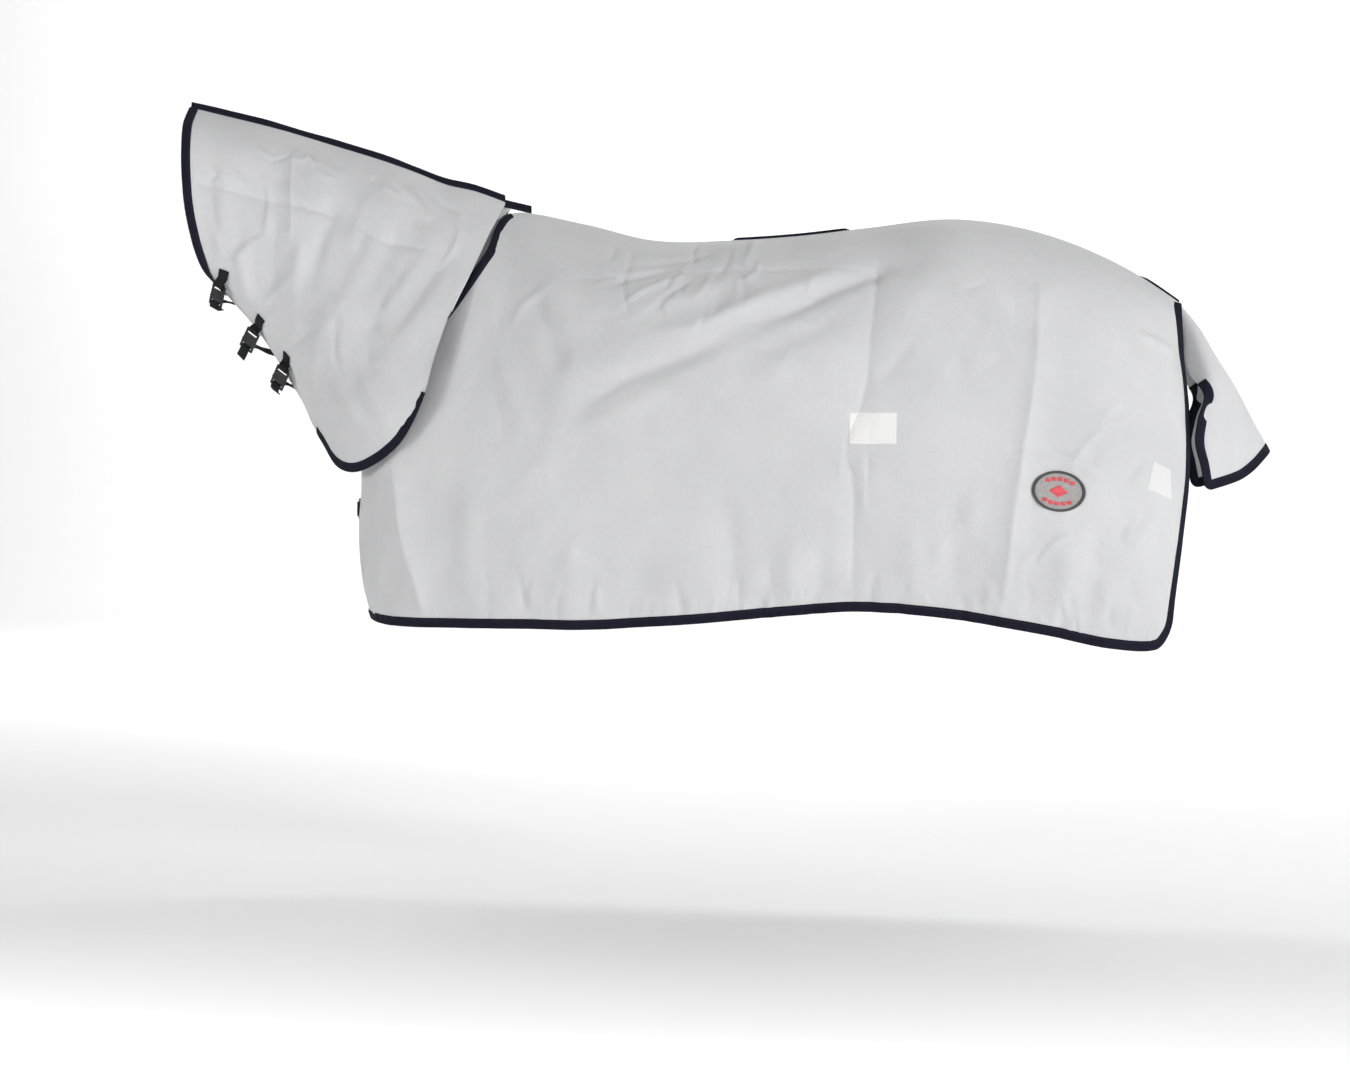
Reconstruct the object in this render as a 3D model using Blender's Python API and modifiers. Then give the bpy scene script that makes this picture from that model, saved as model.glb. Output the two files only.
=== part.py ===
"""Cotton combo rug for a horse: body rug, neck cover and tail flap, in the shape in which it hangs when worn.

Metres, +Z up. The horse would face -X, and its near (left) side is at -Y. The origin lies on the spine seam at
the middle of the back. The near half is drawn rib by rib, and the off half is its mirror image.
"""

import bmesh
import bpy
import numpy as np
from mathutils import Matrix, Vector
from mathutils.bvhtree import BVHTree

# Cloth and tape, in metres.
CLOTH = 0.0018
TAPE = 0.0012
TAPE_WIDTH = 0.020
TAPE_GAP = 0.0008
RING = 0.022
SEAM_GAP = 0.0016
WEBBING = 0.0016
WEBBING_WIDTH = 0.025
TAB_LIFT = 0.0042
SEWN_POINTS = 4
PATCH_LIFT = 0.0030
PATCH = 0.0012
BUCKLE = 0.0050
BUCKLE_CLEAR = 0.0075
LEAST_GAP = 0.0004

# How finely the sheets are sampled.
FINE_COLUMNS = 161
FINE_ROWS = 81
BODY_COLUMNS = 27
BODY_ROWS = 10
NECK_COLUMNS = 12
NECK_ROWS = 9
FLAP_COLUMNS = 10
FLAP_ROWS = 7

# Ribs of the near body panel, front edge first. Each runs from the neckline or the spine down to the hem.
BODY_RIBS = [
    [(-0.955, -0.005, -0.490), (-0.955, -0.005, -0.550), (-0.945, -0.005, -0.620), (-0.955, -0.005, -0.680),
     (-0.958, -0.005, -0.740), (-0.950, -0.005, -0.800), (-0.940, -0.005, -0.860)],
    [(-0.925, -0.110, -0.430), (-0.932, -0.117, -0.505), (-0.932, -0.122, -0.580), (-0.935, -0.127, -0.650),
     (-0.932, -0.130, -0.720), (-0.922, -0.134, -0.790), (-0.905, -0.135, -0.865)],
    [(-0.840, -0.160, -0.320), (-0.855, -0.188, -0.415), (-0.862, -0.204, -0.510), (-0.865, -0.214, -0.600),
     (-0.862, -0.221, -0.690), (-0.855, -0.226, -0.780), (-0.840, -0.228, -0.870)],
    [(-0.700, -0.158, -0.145), (-0.690, -0.200, -0.245), (-0.680, -0.238, -0.360), (-0.675, -0.264, -0.485),
     (-0.670, -0.277, -0.610), (-0.665, -0.282, -0.740), (-0.660, -0.282, -0.870)],
    [(-0.640, -0.108, -0.037), (-0.600, -0.165, -0.135), (-0.565, -0.220, -0.255), (-0.540, -0.265, -0.390),
     (-0.525, -0.295, -0.540), (-0.515, -0.303, -0.700), (-0.505, -0.303, -0.868)],
    [(-0.590, 0, 0.070), (-0.530, -0.090, 0.000), (-0.470, -0.180, -0.100), (-0.420, -0.255, -0.235),
     (-0.380, -0.300, -0.400), (-0.355, -0.315, -0.620), (-0.340, -0.312, -0.866)],
    [(-0.440, 0, 0.042), (-0.405, -0.105, -0.022), (-0.365, -0.200, -0.115), (-0.325, -0.270, -0.240),
     (-0.290, -0.310, -0.405), (-0.265, -0.318, -0.620), (-0.250, -0.313, -0.860)],
    [(-0.270, 0, 0.000), (-0.245, -0.120, -0.045), (-0.215, -0.220, -0.125), (-0.185, -0.288, -0.250),
     (-0.160, -0.318, -0.415), (-0.140, -0.322, -0.630), (-0.130, -0.314, -0.851)],
    [(-0.080, 0, -0.003), (-0.065, -0.130, -0.040), (-0.045, -0.232, -0.122), (-0.025, -0.296, -0.250),
     (-0.010, -0.321, -0.420), (0.000, -0.322, -0.630), (0.000, -0.312, -0.838)],
    [(0.065, 0, 0.004), (0.070, -0.130, -0.032), (0.080, -0.234, -0.117), (0.090, -0.297, -0.250),
     (0.100, -0.321, -0.420), (0.105, -0.322, -0.625), (0.105, -0.310, -0.828)],
    [(0.210, 0, 0.018), (0.210, -0.130, -0.020), (0.210, -0.232, -0.110), (0.210, -0.296, -0.250),
     (0.210, -0.320, -0.420), (0.210, -0.322, -0.620), (0.210, -0.308, -0.820)],
    [(0.420, 0, 0.034), (0.420, -0.130, -0.005), (0.420, -0.230, -0.100), (0.420, -0.292, -0.240),
     (0.420, -0.315, -0.420), (0.420, -0.318, -0.620), (0.420, -0.308, -0.832)],
    [(0.600, 0, 0.001), (0.600, -0.120, -0.045), (0.600, -0.212, -0.135), (0.602, -0.276, -0.270),
     (0.605, -0.305, -0.440), (0.610, -0.312, -0.640), (0.610, -0.305, -0.862)],
    [(0.750, 0, -0.060), (0.752, -0.100, -0.105), (0.758, -0.180, -0.190), (0.762, -0.245, -0.310),
     (0.765, -0.285, -0.470), (0.760, -0.298, -0.660), (0.750, -0.295, -0.890)],
    [(0.850, 0, -0.120), (0.862, -0.068, -0.170), (0.870, -0.128, -0.260), (0.878, -0.185, -0.375),
     (0.878, -0.228, -0.525), (0.862, -0.252, -0.705), (0.838, -0.260, -0.895)],
    [(0.905, -0.004, -0.160), (0.905, -0.034, -0.200), (0.908, -0.072, -0.290), (0.914, -0.122, -0.400),
     (0.912, -0.172, -0.540), (0.893, -0.208, -0.710), (0.872, -0.232, -0.885)],
]
WITHERS_RIB = 5

# Ribs of the near neck panel, poll first. Each runs from the crest down to the throat or the flap's lower edge.
NECK_RIBS = [
    [(-1.379, 0, 0.331), (-1.364, -0.085, 0.275), (-1.356, -0.125, 0.165), (-1.345, -0.130, 0.045),
     (-1.318, -0.105, -0.060), (-1.283, -0.050, -0.115)],
    [(-1.220, 0, 0.292), (-1.228, -0.082, 0.225), (-1.232, -0.122, 0.105), (-1.232, -0.126, -0.020),
     (-1.222, -0.095, -0.135), (-1.200, -0.032, -0.222)],
    [(-1.070, 0, 0.247), (-1.085, -0.085, 0.170), (-1.100, -0.130, 0.035), (-1.115, -0.135, -0.100),
     (-1.125, -0.100, -0.225), (-1.125, -0.033, -0.335)],
    [(-0.920, 0, 0.200), (-0.940, -0.090, 0.110), (-0.970, -0.150, -0.035), (-0.998, -0.178, -0.180),
     (-1.020, -0.165, -0.325), (-1.030, -0.115, -0.457)],
    [(-0.835, 0, 0.168), (-0.860, -0.095, 0.075), (-0.890, -0.165, -0.070), (-0.920, -0.208, -0.225),
     (-0.945, -0.212, -0.380), (-0.965, -0.178, -0.520)],
    [(-0.765, 0, 0.140), (-0.785, -0.090, 0.050), (-0.815, -0.170, -0.085), (-0.845, -0.226, -0.230),
     (-0.875, -0.242, -0.380), (-0.900, -0.215, -0.525)],
    [(-0.690, 0, 0.122), (-0.708, -0.085, 0.035), (-0.735, -0.168, -0.080), (-0.765, -0.230, -0.205),
     (-0.785, -0.260, -0.335), (-0.800, -0.256, -0.468)],
    [(-0.620, 0, 0.096), (-0.640, -0.082, 0.010), (-0.666, -0.162, -0.095), (-0.697, -0.222, -0.195),
     (-0.717, -0.258, -0.285), (-0.735, -0.272, -0.370)],
]

# Ribs of the near half of the tail flap: its front edge, the middle of the side, and the ridge.
FLAP_RIBS = [
    [(0.916, -0.060, -0.266), (0.928, -0.106, -0.318), (0.946, -0.135, -0.365), (0.932, -0.150, -0.415),
     (0.926, -0.160, -0.465), (0.938, -0.165, -0.515), (0.948, -0.160, -0.567)],
    [(0.917, -0.026, -0.203), (0.948, -0.066, -0.262), (0.972, -0.100, -0.322), (0.988, -0.115, -0.385),
     (1.000, -0.120, -0.440), (1.014, -0.118, -0.495), (1.028, -0.110, -0.540)],
    [(0.916, 0, -0.170), (0.954, 0, -0.226), (0.990, 0, -0.288), (1.020, 0, -0.340), (1.048, 0, -0.392),
     (1.074, 0, -0.440), (1.096, 0, -0.482)],
]

# Folds of the body and of the neck: the line's points (x, z), half the width, and the depth (a trough is negative).
BODY_FOLDS = [
    ([(0.320, -0.075), (0.080, -0.175), (-0.140, -0.275), (-0.350, -0.365)], 0.055, -0.007),
    ([(-0.100, -0.110), (-0.250, -0.190), (-0.430, -0.260)], 0.040, -0.004),
    ([(0.250, -0.180), (0.215, -0.460), (0.215, -0.810)], 0.045, -0.004),
    ([(0.590, -0.270), (0.570, -0.470), (0.525, -0.830)], 0.045, 0.005),
    ([(-0.820, -0.500), (-0.780, -0.700), (-0.738, -0.850)], 0.040, 0.006),
    ([(-0.810, -0.550), (-0.665, -0.650), (-0.590, -0.710), (-0.500, -0.840)], 0.050, -0.006),
    ([(-0.400, -0.700), (-0.400, -0.870)], 0.035, 0.006),
    ([(-0.230, -0.700), (-0.240, -0.860)], 0.035, -0.005),
    ([(0.800, -0.250), (0.790, -0.450), (0.740, -0.700)], 0.050, -0.005),
]
NECK_FOLDS = [
    ([(-0.755, -0.055), (-0.870, -0.185), (-0.955, -0.320)], 0.050, -0.007),
    ([(-1.150, 0.200), (-1.180, 0.000), (-1.190, -0.150)], 0.040, -0.005),
    ([(-1.020, 0.180), (-1.060, 0.000), (-1.090, -0.180)], 0.040, 0.005),
    ([(-0.880, 0.140), (-0.910, -0.060), (-0.960, -0.250)], 0.040, 0.005),
]

# The pleat at the rear of the neck cover, seen along a row: the steps in from the fold and forward along the cloth.
PLEAT = [(0.0028, -0.0012), (0.0056, 0.0015), (0.0062, 0.0300), (0.0090, 0.0320), (0.0118, 0.0290)]
PLEAT_ROWS = 6
UNDER_REACH = 0.020
BINDING_START = -1.045

CREST_FIN = 0.014
SPINE_FIN = 0.009
FIN_THICKNESS = 0.0044
SPINE_REACH = (-0.560, 0.878)
SPINE_UPRIGHT = (-0.170, 0.210)
SPINE_LEAN = 62
CREST_REACH = (-1.368, -0.622)
WITHERS_LINE = [(-0.610, 0, 0.084), (-0.588, 0, 0.0775), (-0.566, 0, 0.0725)]
WITHERS_FIN = 0.012
CHEST_LENGTH = 0.042
CHEST_WIDTH = 0.050
CHEST_WEBBING = 0.034
CHEST_HEIGHT = -0.620
FIN_LIFT = 0.0028

# The closures under the throat, front one first: where the tab is sewn, as (x, z) on the near panel; the buckle's
# centre, its run and the way it faces; where the strap is sewn on the off panel; its way across; its free end.
CLOSURES = [
    ("throat", [(-1.262, -0.062), (-1.268, -0.078)], (-1.277, -0.070, -0.113), (-0.35, 0.30, -0.87),
     (-0.35, -0.88, -0.25), [(-1.238, -0.095), (-1.244, -0.125)],
     [(-1.260, 0.052, -0.172), (-1.275, 0.015, -0.178), (-1.288, -0.030, -0.160)], (-1.297, -0.066, -0.146)),
    ("neck_2", [(-1.182, -0.170), (-1.202, -0.190)], (-1.2254, -0.050, -0.2197), (-0.53, 0.28, -0.80),
     (-0.25, -0.94, -0.15), [(-1.145, -0.228), (-1.152, -0.255)],
     [(-1.168, 0.040, -0.292), (-1.184, 0.015, -0.288), (-1.208, -0.020, -0.268)], (-1.257, -0.040, -0.260)),
    ("neck_3", [(-1.120, -0.256), (-1.128, -0.272)], (-1.1415, -0.055, -0.3065), (-0.50, 0.34, -0.79),
     (-0.25, -0.94, -0.15), [(-1.075, -0.318), (-1.082, -0.348)],
     [(-1.100, 0.068, -0.394), (-1.114, 0.030, -0.396), (-1.134, -0.015, -0.370)], (-1.166, -0.048, -0.343)),
]
BUCKLE_LENGTH = 0.052
BUCKLE_WIDTH = 0.038
SLOT_PLACE = 0.33
SLOT_LENGTH = 0.16
SLOT_WIDTH = 0.74

SIDE_PATCH = [(0.206, -0.401), (0.306, -0.401), (0.306, -0.467), (0.206, -0.467)]
REAR_PATCH = [(0.833, -0.503), (0.870, -0.521), (0.872, -0.584), (0.819, -0.561)]
BADGE_CENTRE = (0.640, -0.565)
BADGE_SIZE = (0.110, 0.084)
BADGE_TILT = 8
BADGE_RIM = 0.0008

COTTON = ("cotton", (0.60, 0.60, 0.605), 0.9)
PATCH_CLOTH = ("patch_cloth", (0.72, 0.71, 0.70), 0.85)
NAVY_TAPE = ("navy_tape", (0.016, 0.018, 0.040), 0.8)
BLACK_WEBBING = ("black_webbing", (0.010, 0.010, 0.013), 0.75)
BLACK_PLASTIC = ("black_plastic", (0.012, 0.012, 0.014), 0.35)
BADGE_GREY = ("badge_grey", (0.30, 0.29, 0.28), 0.6)


# ---- Scene and materials


def clear_scene():
    for found in list(bpy.data.objects):
        bpy.data.objects.remove(found)


def new_collection(name):
    collection = bpy.data.collections.new(name)
    bpy.context.scene.collection.children.link(collection)
    return collection


def material(spec):
    name, colour, roughness = spec
    found = bpy.data.materials.get(name)
    if found:
        return found
    made = bpy.data.materials.new(name)
    made.use_nodes = True
    shader = made.node_tree.nodes["Principled BSDF"]
    shader.inputs["Base Color"].default_value = (*colour, 1)
    shader.inputs["Roughness"].default_value = roughness
    shader.inputs["Metallic"].default_value = 0
    made.diffuse_color = (*colour, 1)
    return made


def add_object(name, mesh, spec, smooth=True):
    made = bpy.data.objects.new(name, mesh)
    mesh.materials.append(material(spec))
    if smooth:
        mesh.shade_smooth()
        mesh.set_sharp_from_angle(angle=np.radians(40))
    parts.objects.link(made)
    return made


def thicken(piece, thickness):
    modifier = piece.modifiers.new("thickness", "SOLIDIFY")
    modifier.thickness = thickness
    modifier.offset = 0
    modifier.use_even_offset = True


# ---- Smooth sheets through ribs


def curve_through(points, knots, places):
    """A smooth curve through the points, which it passes at the knots, read at the places."""
    steps = np.diff(knots)[:, None]
    slopes = np.diff(points, axis=0) / steps
    tangents = np.concatenate([slopes[:1], slopes[:1], slopes[1:]])
    inner = (slopes[:-1] * steps[1:] + slopes[1:] * steps[:-1]) / (steps[:-1] + steps[1:])
    tangents[1:-1] = inner
    tangents[-1] = slopes[-1]
    span = np.clip(np.searchsorted(knots, places, "right") - 1, 0, len(knots) - 2)
    step = steps[span]
    part = (places - knots[span])[:, None] / step
    rest = 1 - part
    return (
        (1 + 2 * part) * rest**2 * points[span]
        + part * rest**2 * step * tangents[span]
        + part**2 * (3 - 2 * part) * points[span + 1]
        - part**2 * rest * step * tangents[span + 1]
    )


def chord_knots(points):
    return np.concatenate([[0], np.cumsum(np.linalg.norm(np.diff(points, axis=0), axis=-1))])


def fine_sheet(ribs):
    """A fine grid [column, row, xyz] through the ribs, and the column place of each rib, from 0 to 1."""
    ribs = np.array(ribs, float)
    rows = np.linspace(0, 1, FINE_ROWS)
    lines = []
    for rib in ribs:
        knots = chord_knots(rib)
        lines.append(curve_through(rib, knots, rows * knots[-1]))
    lines = np.array(lines)
    knots = np.mean([chord_knots(lines[:, row]) for row in range(FINE_ROWS)], axis=0)
    columns = np.linspace(0, knots[-1], FINE_COLUMNS)
    grid = np.stack([curve_through(lines[:, row], knots, columns) for row in range(FINE_ROWS)], axis=1)
    return grid, knots / knots[-1]


def read_at(grid, column, row):
    """The sheet's points at places from 0 to 1 along its columns and rows."""
    column = np.clip(column, 0, 1) * (grid.shape[0] - 1)
    row = np.clip(row, 0, 1) * (grid.shape[1] - 1)
    i = np.minimum(column.astype(int), grid.shape[0] - 2)
    j = np.minimum(row.astype(int), grid.shape[1] - 2)
    u = (column - i)[..., None]
    v = (row - j)[..., None]
    left = grid[i, j] * (1 - v) + grid[i, j + 1] * v
    right = grid[i + 1, j] * (1 - v) + grid[i + 1, j + 1] * v
    return left * (1 - u) + right * u


def normals_of(grid):
    """Outward normals of a near-side grid."""
    across = np.gradient(grid, axis=0)
    down = np.gradient(grid, axis=1)
    normal = np.cross(across, down)
    length = np.linalg.norm(normal, axis=-1, keepdims=True)
    normal = -normal / np.maximum(length, 1e-9)
    return normal


def add_folds(grid, folds):
    """Pushes the sheet in or out along its folds, and fades them at the top edge."""
    normal = normals_of(grid)
    shift = np.zeros(grid.shape[:2])
    for line, half_width, depth in folds:
        distance = np.full(grid.shape[:2], np.inf)
        for start, end in zip(line[:-1], line[1:]):
            start, end = np.array(start), np.array(end)
            leg = end - start
            offset = grid[..., [0, 2]] - start
            part = np.clip(offset @ leg / (leg @ leg), 0, 1)
            away = np.linalg.norm(offset - part[..., None] * leg, axis=-1)
            distance = np.minimum(distance, away)
        shift += depth * np.exp(-((distance / half_width) ** 2))
    fade = np.clip(np.linspace(0, 1, grid.shape[1]) * 8, 0, 1)
    return grid + normal * (shift * fade)[..., None]


def lengths_of(grid):
    """The length of each row along the columns, and of each column along the rows."""
    along = np.linalg.norm(np.diff(grid, axis=0), axis=-1).sum(axis=0)
    down = np.linalg.norm(np.diff(grid, axis=1), axis=-1).sum(axis=1)
    return along, down


def round_corner(near_edge, near_hem, radius):
    """Moves points in a corner, given by their distances to its two edges, so that its outline is an arc."""
    inside = (near_edge < radius) & (near_hem < radius)
    u = np.where(inside, 1 - near_edge / radius, 0)
    v = np.where(inside, 1 - near_hem / radius, 0)
    edge = np.where(inside, radius * (1 - u * np.sqrt(1 - v**2 / 2)), near_edge)
    hem = np.where(inside, radius * (1 - v * np.sqrt(1 - u**2 / 2)), near_hem)
    return edge, hem


def coarse_sheet(grid, columns, rows, ring_top, corners):
    """A coarser grid with a narrow ring at its edges, whose quads the binding lies on. corners holds the radii of
    the lower corners at the first and the last column."""
    along, down = lengths_of(grid)
    row_places = np.linspace(0, 1, len(along))
    column_places = np.linspace(0, 1, len(down))
    rows = np.concatenate([[0], rows, [1]])
    columns = np.concatenate([[0, 0], columns, [1, 1]])
    column, row = np.meshgrid(columns, rows, indexing="ij")
    row = row.copy()
    tall = np.interp(column, column_places, down)
    row = np.insert(row, -1, 1 - RING / tall[:, 0], axis=1)
    column = np.insert(column, -1, column[:, -1], axis=1)
    if ring_top:
        row = np.insert(row, 1, RING / tall[:, 0], axis=1)
        column = np.insert(column, 1, column[:, 0], axis=1)
    wide = np.interp(row, row_places, along)
    column[1] = RING / wide[1]
    column[-2] = 1 - RING / wide[-2]
    tall = np.interp(column, column_places, down)
    edge, hem = column * wide, (1 - row) * tall
    edge, hem = round_corner(edge, hem, corners[0])
    rear, hem = round_corner(wide - edge, hem, corners[1])
    return read_at(grid, 1 - rear / wide, 1 - hem / tall)


def mirrored(points):
    return np.asarray(points) * (1, -1, 1)


def diagonals(grid, outward):
    """Whether each quad of a sheet stands further out along its first diagonal."""
    twist = grid[:-1, :-1] + grid[1:, 1:] - grid[:-1, 1:] - grid[1:, :-1]
    facing = outward[:-1, :-1] + outward[1:, 1:] + outward[:-1, 1:] + outward[1:, :-1]
    return (twist * facing).sum(axis=-1) > 0


def add_faces(build, grid, first, flip):
    """Faces over a grid, each quad parted along its outer diagonal, so that layers stay nested."""
    columns, rows = grid.shape[:2]
    corners = [[build.verts.new(grid[i, j]) for j in range(rows)] for i in range(columns)]
    for i in range(columns - 1):
        for j in range(rows - 1):
            a, b, c, d = corners[i][j], corners[i][j + 1], corners[i + 1][j + 1], corners[i + 1][j]
            for face in ([a, b, c], [a, c, d]) if first[i, j] else ([a, b, d], [b, c, d]):
                build.faces.new(face[::-1] if flip else face)


def grid_mesh(name, grid, first=None, flip=False):
    """An open mesh over a grid, whose faces look outward."""
    if first is None:
        first = np.zeros((grid.shape[0] - 1, grid.shape[1] - 1), bool)
    build = bmesh.new()
    add_faces(build, grid, first, flip)
    mesh = bpy.data.meshes.new(name)
    build.to_mesh(mesh)
    build.free()
    return mesh


def merge_points(mesh):
    build = bmesh.new()
    build.from_mesh(mesh)
    bmesh.ops.remove_doubles(build, verts=build.verts, dist=0.00005)
    build.to_mesh(mesh)
    build.free()


def faceted_normals(grid):
    """The normals of the faceted sheet at its points, along which its thickness is laid."""
    mesh = grid_mesh("normals", grid, diagonals(grid, normals_of(grid)))
    normal = np.array([vertex.normal for vertex in mesh.vertices]).reshape(grid.shape)
    bpy.data.meshes.remove(mesh)
    return normal


def add_sheet(name, grid, spec, off_side=False, thickness=CLOTH):
    first = diagonals(grid, normals_of(grid))
    points = mirrored(grid) if off_side else grid
    piece = add_object(name, grid_mesh(name, points, first, off_side), spec)
    thicken(piece, thickness)
    return piece


# ---- Binding tape


def add_tape(name, edge, inner, edge_normal, inner_normal):
    """A tape folded over an edge: the cloth's edge points, the points one ring inside them, and their normals."""
    width = np.linalg.norm(inner - edge, axis=-1, keepdims=True)
    inward = (inner - edge) / width
    end = edge + inward * np.minimum(width * TAPE_WIDTH / RING, width - 0.001)
    run = np.gradient(edge, axis=0)
    run /= np.maximum(np.linalg.norm(run, axis=-1, keepdims=True), 1e-9)
    outwards = (inward * run).sum(axis=-1, keepdims=True) * run - inward
    outwards /= np.linalg.norm(outwards, axis=-1, keepdims=True)
    fold = edge + outwards * (TAPE_GAP + TAPE)
    clear = CLOTH / 2 + TAPE_GAP + TAPE / 2
    edge_lift, inner_lift = edge_normal * clear, inner_normal * clear
    profile = np.stack([end + inner_lift, fold + edge_lift, fold - edge_lift, end - inner_lift], axis=1)
    base = np.stack([inner, edge, edge, inner], axis=1)
    outward = np.stack([inner_normal, edge_normal, edge_normal, inner_normal], axis=1)
    first = diagonals(base, outward)
    turned = np.stack([outwards] * 4, axis=1)
    first[:, 1] = diagonals(profile, turned)[:, 1]
    mesh = grid_mesh(name, profile, first)
    merge_points(mesh)
    piece = add_object(name, mesh, NAVY_TAPE)
    thicken(piece, TAPE)
    return piece


def border(grid, normal, path):
    """Edge and inner points and their normals along a list of (column, row, inner column, inner row)."""
    edge = np.array([grid[i, j] for i, j, _, _ in path])
    inner = np.array([grid[m, n] for _, _, m, n in path])
    edge_normal = np.array([normal[i, j] for i, j, _, _ in path])
    inner_normal = np.array([normal[m, n] for _, _, m, n in path])
    return edge, inner, edge_normal, inner_normal


def both_sides(halves):
    """Runs a near-side border on over the middle and back along the off side."""
    return [np.concatenate([half, mirrored(half)[::-1]]) for half in halves]


# ---- Seams that stand up along the crest and the spine


def add_fin(name, line, height, lean):
    """A bound seam along a line at the middle: it stands up from the line, or leans to the off side."""
    line = np.asarray(line)
    lean = np.broadcast_to(lean, len(line))
    lift = FIN_LIFT + FIN_THICKNESS / 2 * np.abs(np.sin(lean))
    foot = line + np.stack([0 * lift, 0 * lift, lift], axis=1)
    rise = np.stack([0 * lean, np.sin(lean), np.cos(lean)], axis=1)
    strip = np.stack([foot, foot + rise * height], axis=1)
    piece = add_object(name, grid_mesh(name, strip), NAVY_TAPE)
    thicken(piece, FIN_THICKNESS)
    return piece


# ---- Straps and buckles


def panel_tree(grid):
    """A tree that finds points on the faceted near-side sheet."""
    mesh = grid_mesh("panel", grid, diagonals(grid, normals_of(grid)))
    build = bmesh.new()
    build.from_mesh(mesh)
    tree = BVHTree.FromBMesh(build)
    build.free()
    bpy.data.meshes.remove(mesh)
    return tree


def on_panel(tree, x, z):
    """The near panel's point at x and z, and its outward normal."""
    hit, normal, _, _ = tree.ray_cast(Vector((x, -1, z)), Vector((0, 1, 0)))
    return np.array(hit), np.array(normal if normal.y < 0 else -normal)


def on_chest(tree, y, z):
    """The near panel's point at y and z on the chest."""
    hit, _, _, _ = tree.ray_cast(Vector((-2, y, z)), Vector((1, 0, 0)))
    return np.array(hit)


def add_webbing(name, points, across, width=WEBBING_WIDTH):
    """A strap through the points, with its width along the direction given for each."""
    points = np.array(points, float)
    knots = chord_knots(points)
    places = np.unique(np.concatenate([knots, (knots[1:] + knots[:-1]) / 2]))
    middle = curve_through(points, knots, places)
    side = np.stack([np.interp(places, knots, part) for part in np.transpose(across)], axis=1)
    side *= width / 2 / np.linalg.norm(side, axis=1, keepdims=True)
    strip = np.stack([middle - side, middle + side], axis=1)
    piece = add_object(name, grid_mesh(name, strip), BLACK_WEBBING)
    thicken(piece, WEBBING)
    return piece


def sewn_end(tree, spots, off_side, like):
    """Points along webbing that is sewn on a panel, and its width there, turned like the given direction."""
    spots = np.linspace(spots[0], spots[1], SEWN_POINTS)
    found = [on_panel(tree, *spot) for spot in spots]
    normal = sum(item[1] for item in found)
    normal /= np.linalg.norm(normal)
    across = np.cross(normal, found[-1][0] - found[0][0])
    across /= np.linalg.norm(across)
    points = []
    for point, _ in found:
        sides = [point + across * WEBBING_WIDTH * part for part in (-0.5, -0.25, 0.25, 0.5)]
        ridge = max((on_panel(tree, side[0], side[2])[0] - point) @ normal for side in sides)
        points.append(point + normal * (TAB_LIFT + max(ridge, 0)))
    if off_side:
        points, across = [mirrored(point) for point in points], mirrored(across)
    return points, across * np.sign(across @ like)


def buckle_place(centre, along, facing):
    """A frame whose X runs along the strap and whose Z faces outward."""
    along = Vector(along).normalized()
    facing = Vector(facing)
    facing = (facing - along * facing.dot(along)).normalized()
    place = Matrix((along, facing.cross(along), facing)).transposed().to_4x4()
    place.translation = Vector(centre)
    return place


def in_buckle(place, steps):
    """Points in a buckle's middle plane, from their steps along it and out of it."""
    return [np.array(place @ Vector((along, 0, out))) for along, out in steps]


def set_off_panel(tree, place, length, width):
    """Moves a buckle's frame outward until the buckle clears the panel below it."""
    facing = place.to_3x3().col[2]
    rise = 0.0
    for u in np.linspace(-0.6, 0.5, 7):
        for v in np.linspace(-0.5, 0.5, 5):
            start = place @ Vector((u * length, v * width, 0.1))
            hit, _, _, distance = tree.ray_cast(start, -facing, 0.2)
            if hit is not None:
                rise = max(rise, 0.1 - distance + BUCKLE_CLEAR)
    place.translation += facing * rise


def loop_round_bar(length):
    """The steps of a strap that comes over a buckle's bar, goes down through the slot, and returns behind it."""
    clear = BUCKLE / 2 + WEBBING / 2 + LEAST_GAP
    bar = length * (SLOT_PLACE + SLOT_LENGTH / 2)
    slot = bar - WEBBING / 2 - 2 * LEAST_GAP
    return [
        (length * 0.5 + 0.004, clear), ((bar + length * 0.5) / 2, clear + 0.0003), (slot + 0.0006, clear - 0.0008),
        (slot - 0.0006, 0), (slot + 0.0006, -clear + 0.0008), ((bar + length * 0.5) / 2, -clear - 0.0003),
        (length * 0.5 + 0.003, -clear),
    ]


def add_buckle(name, place, length, width):
    """A moulded buckle: a frame with two open slots, round whose bars the straps run."""
    build = bmesh.new()
    bmesh.ops.create_cube(build, size=1, matrix=Matrix.Diagonal((length, width, BUCKLE, 1)))
    mesh = bpy.data.meshes.new(name)
    build.to_mesh(mesh)
    build.free()
    piece = add_object(name, mesh, BLACK_PLASTIC, smooth=False)
    piece.matrix_world = place
    for number, offset in enumerate((-length * SLOT_PLACE, length * SLOT_PLACE)):
        cutter = add_slot_cutter(f"{name}_slot_{number}", length * SLOT_LENGTH, width * SLOT_WIDTH, BUCKLE * 3)
        cutter.matrix_world = place @ Matrix.Translation((offset, 0, 0))
        cut = piece.modifiers.new("slot", "BOOLEAN")
        cut.operation = "DIFFERENCE"
        cut.solver = "EXACT"
        cut.object = cutter
    bevel = piece.modifiers.new("edges", "BEVEL")
    bevel.width = 0.0009
    bevel.segments = 1
    return piece


def add_slot_cutter(name, length, width, depth):
    build = bmesh.new()
    bmesh.ops.create_cube(build, size=1, matrix=Matrix.Diagonal((length, width, depth, 1)))
    mesh = bpy.data.meshes.new(name)
    build.to_mesh(mesh)
    build.free()
    cutter = bpy.data.objects.new(name, mesh)
    cutter.hide_render = True
    cutter.display_type = "WIRE"
    cutters.objects.link(cutter)
    return cutter


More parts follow.
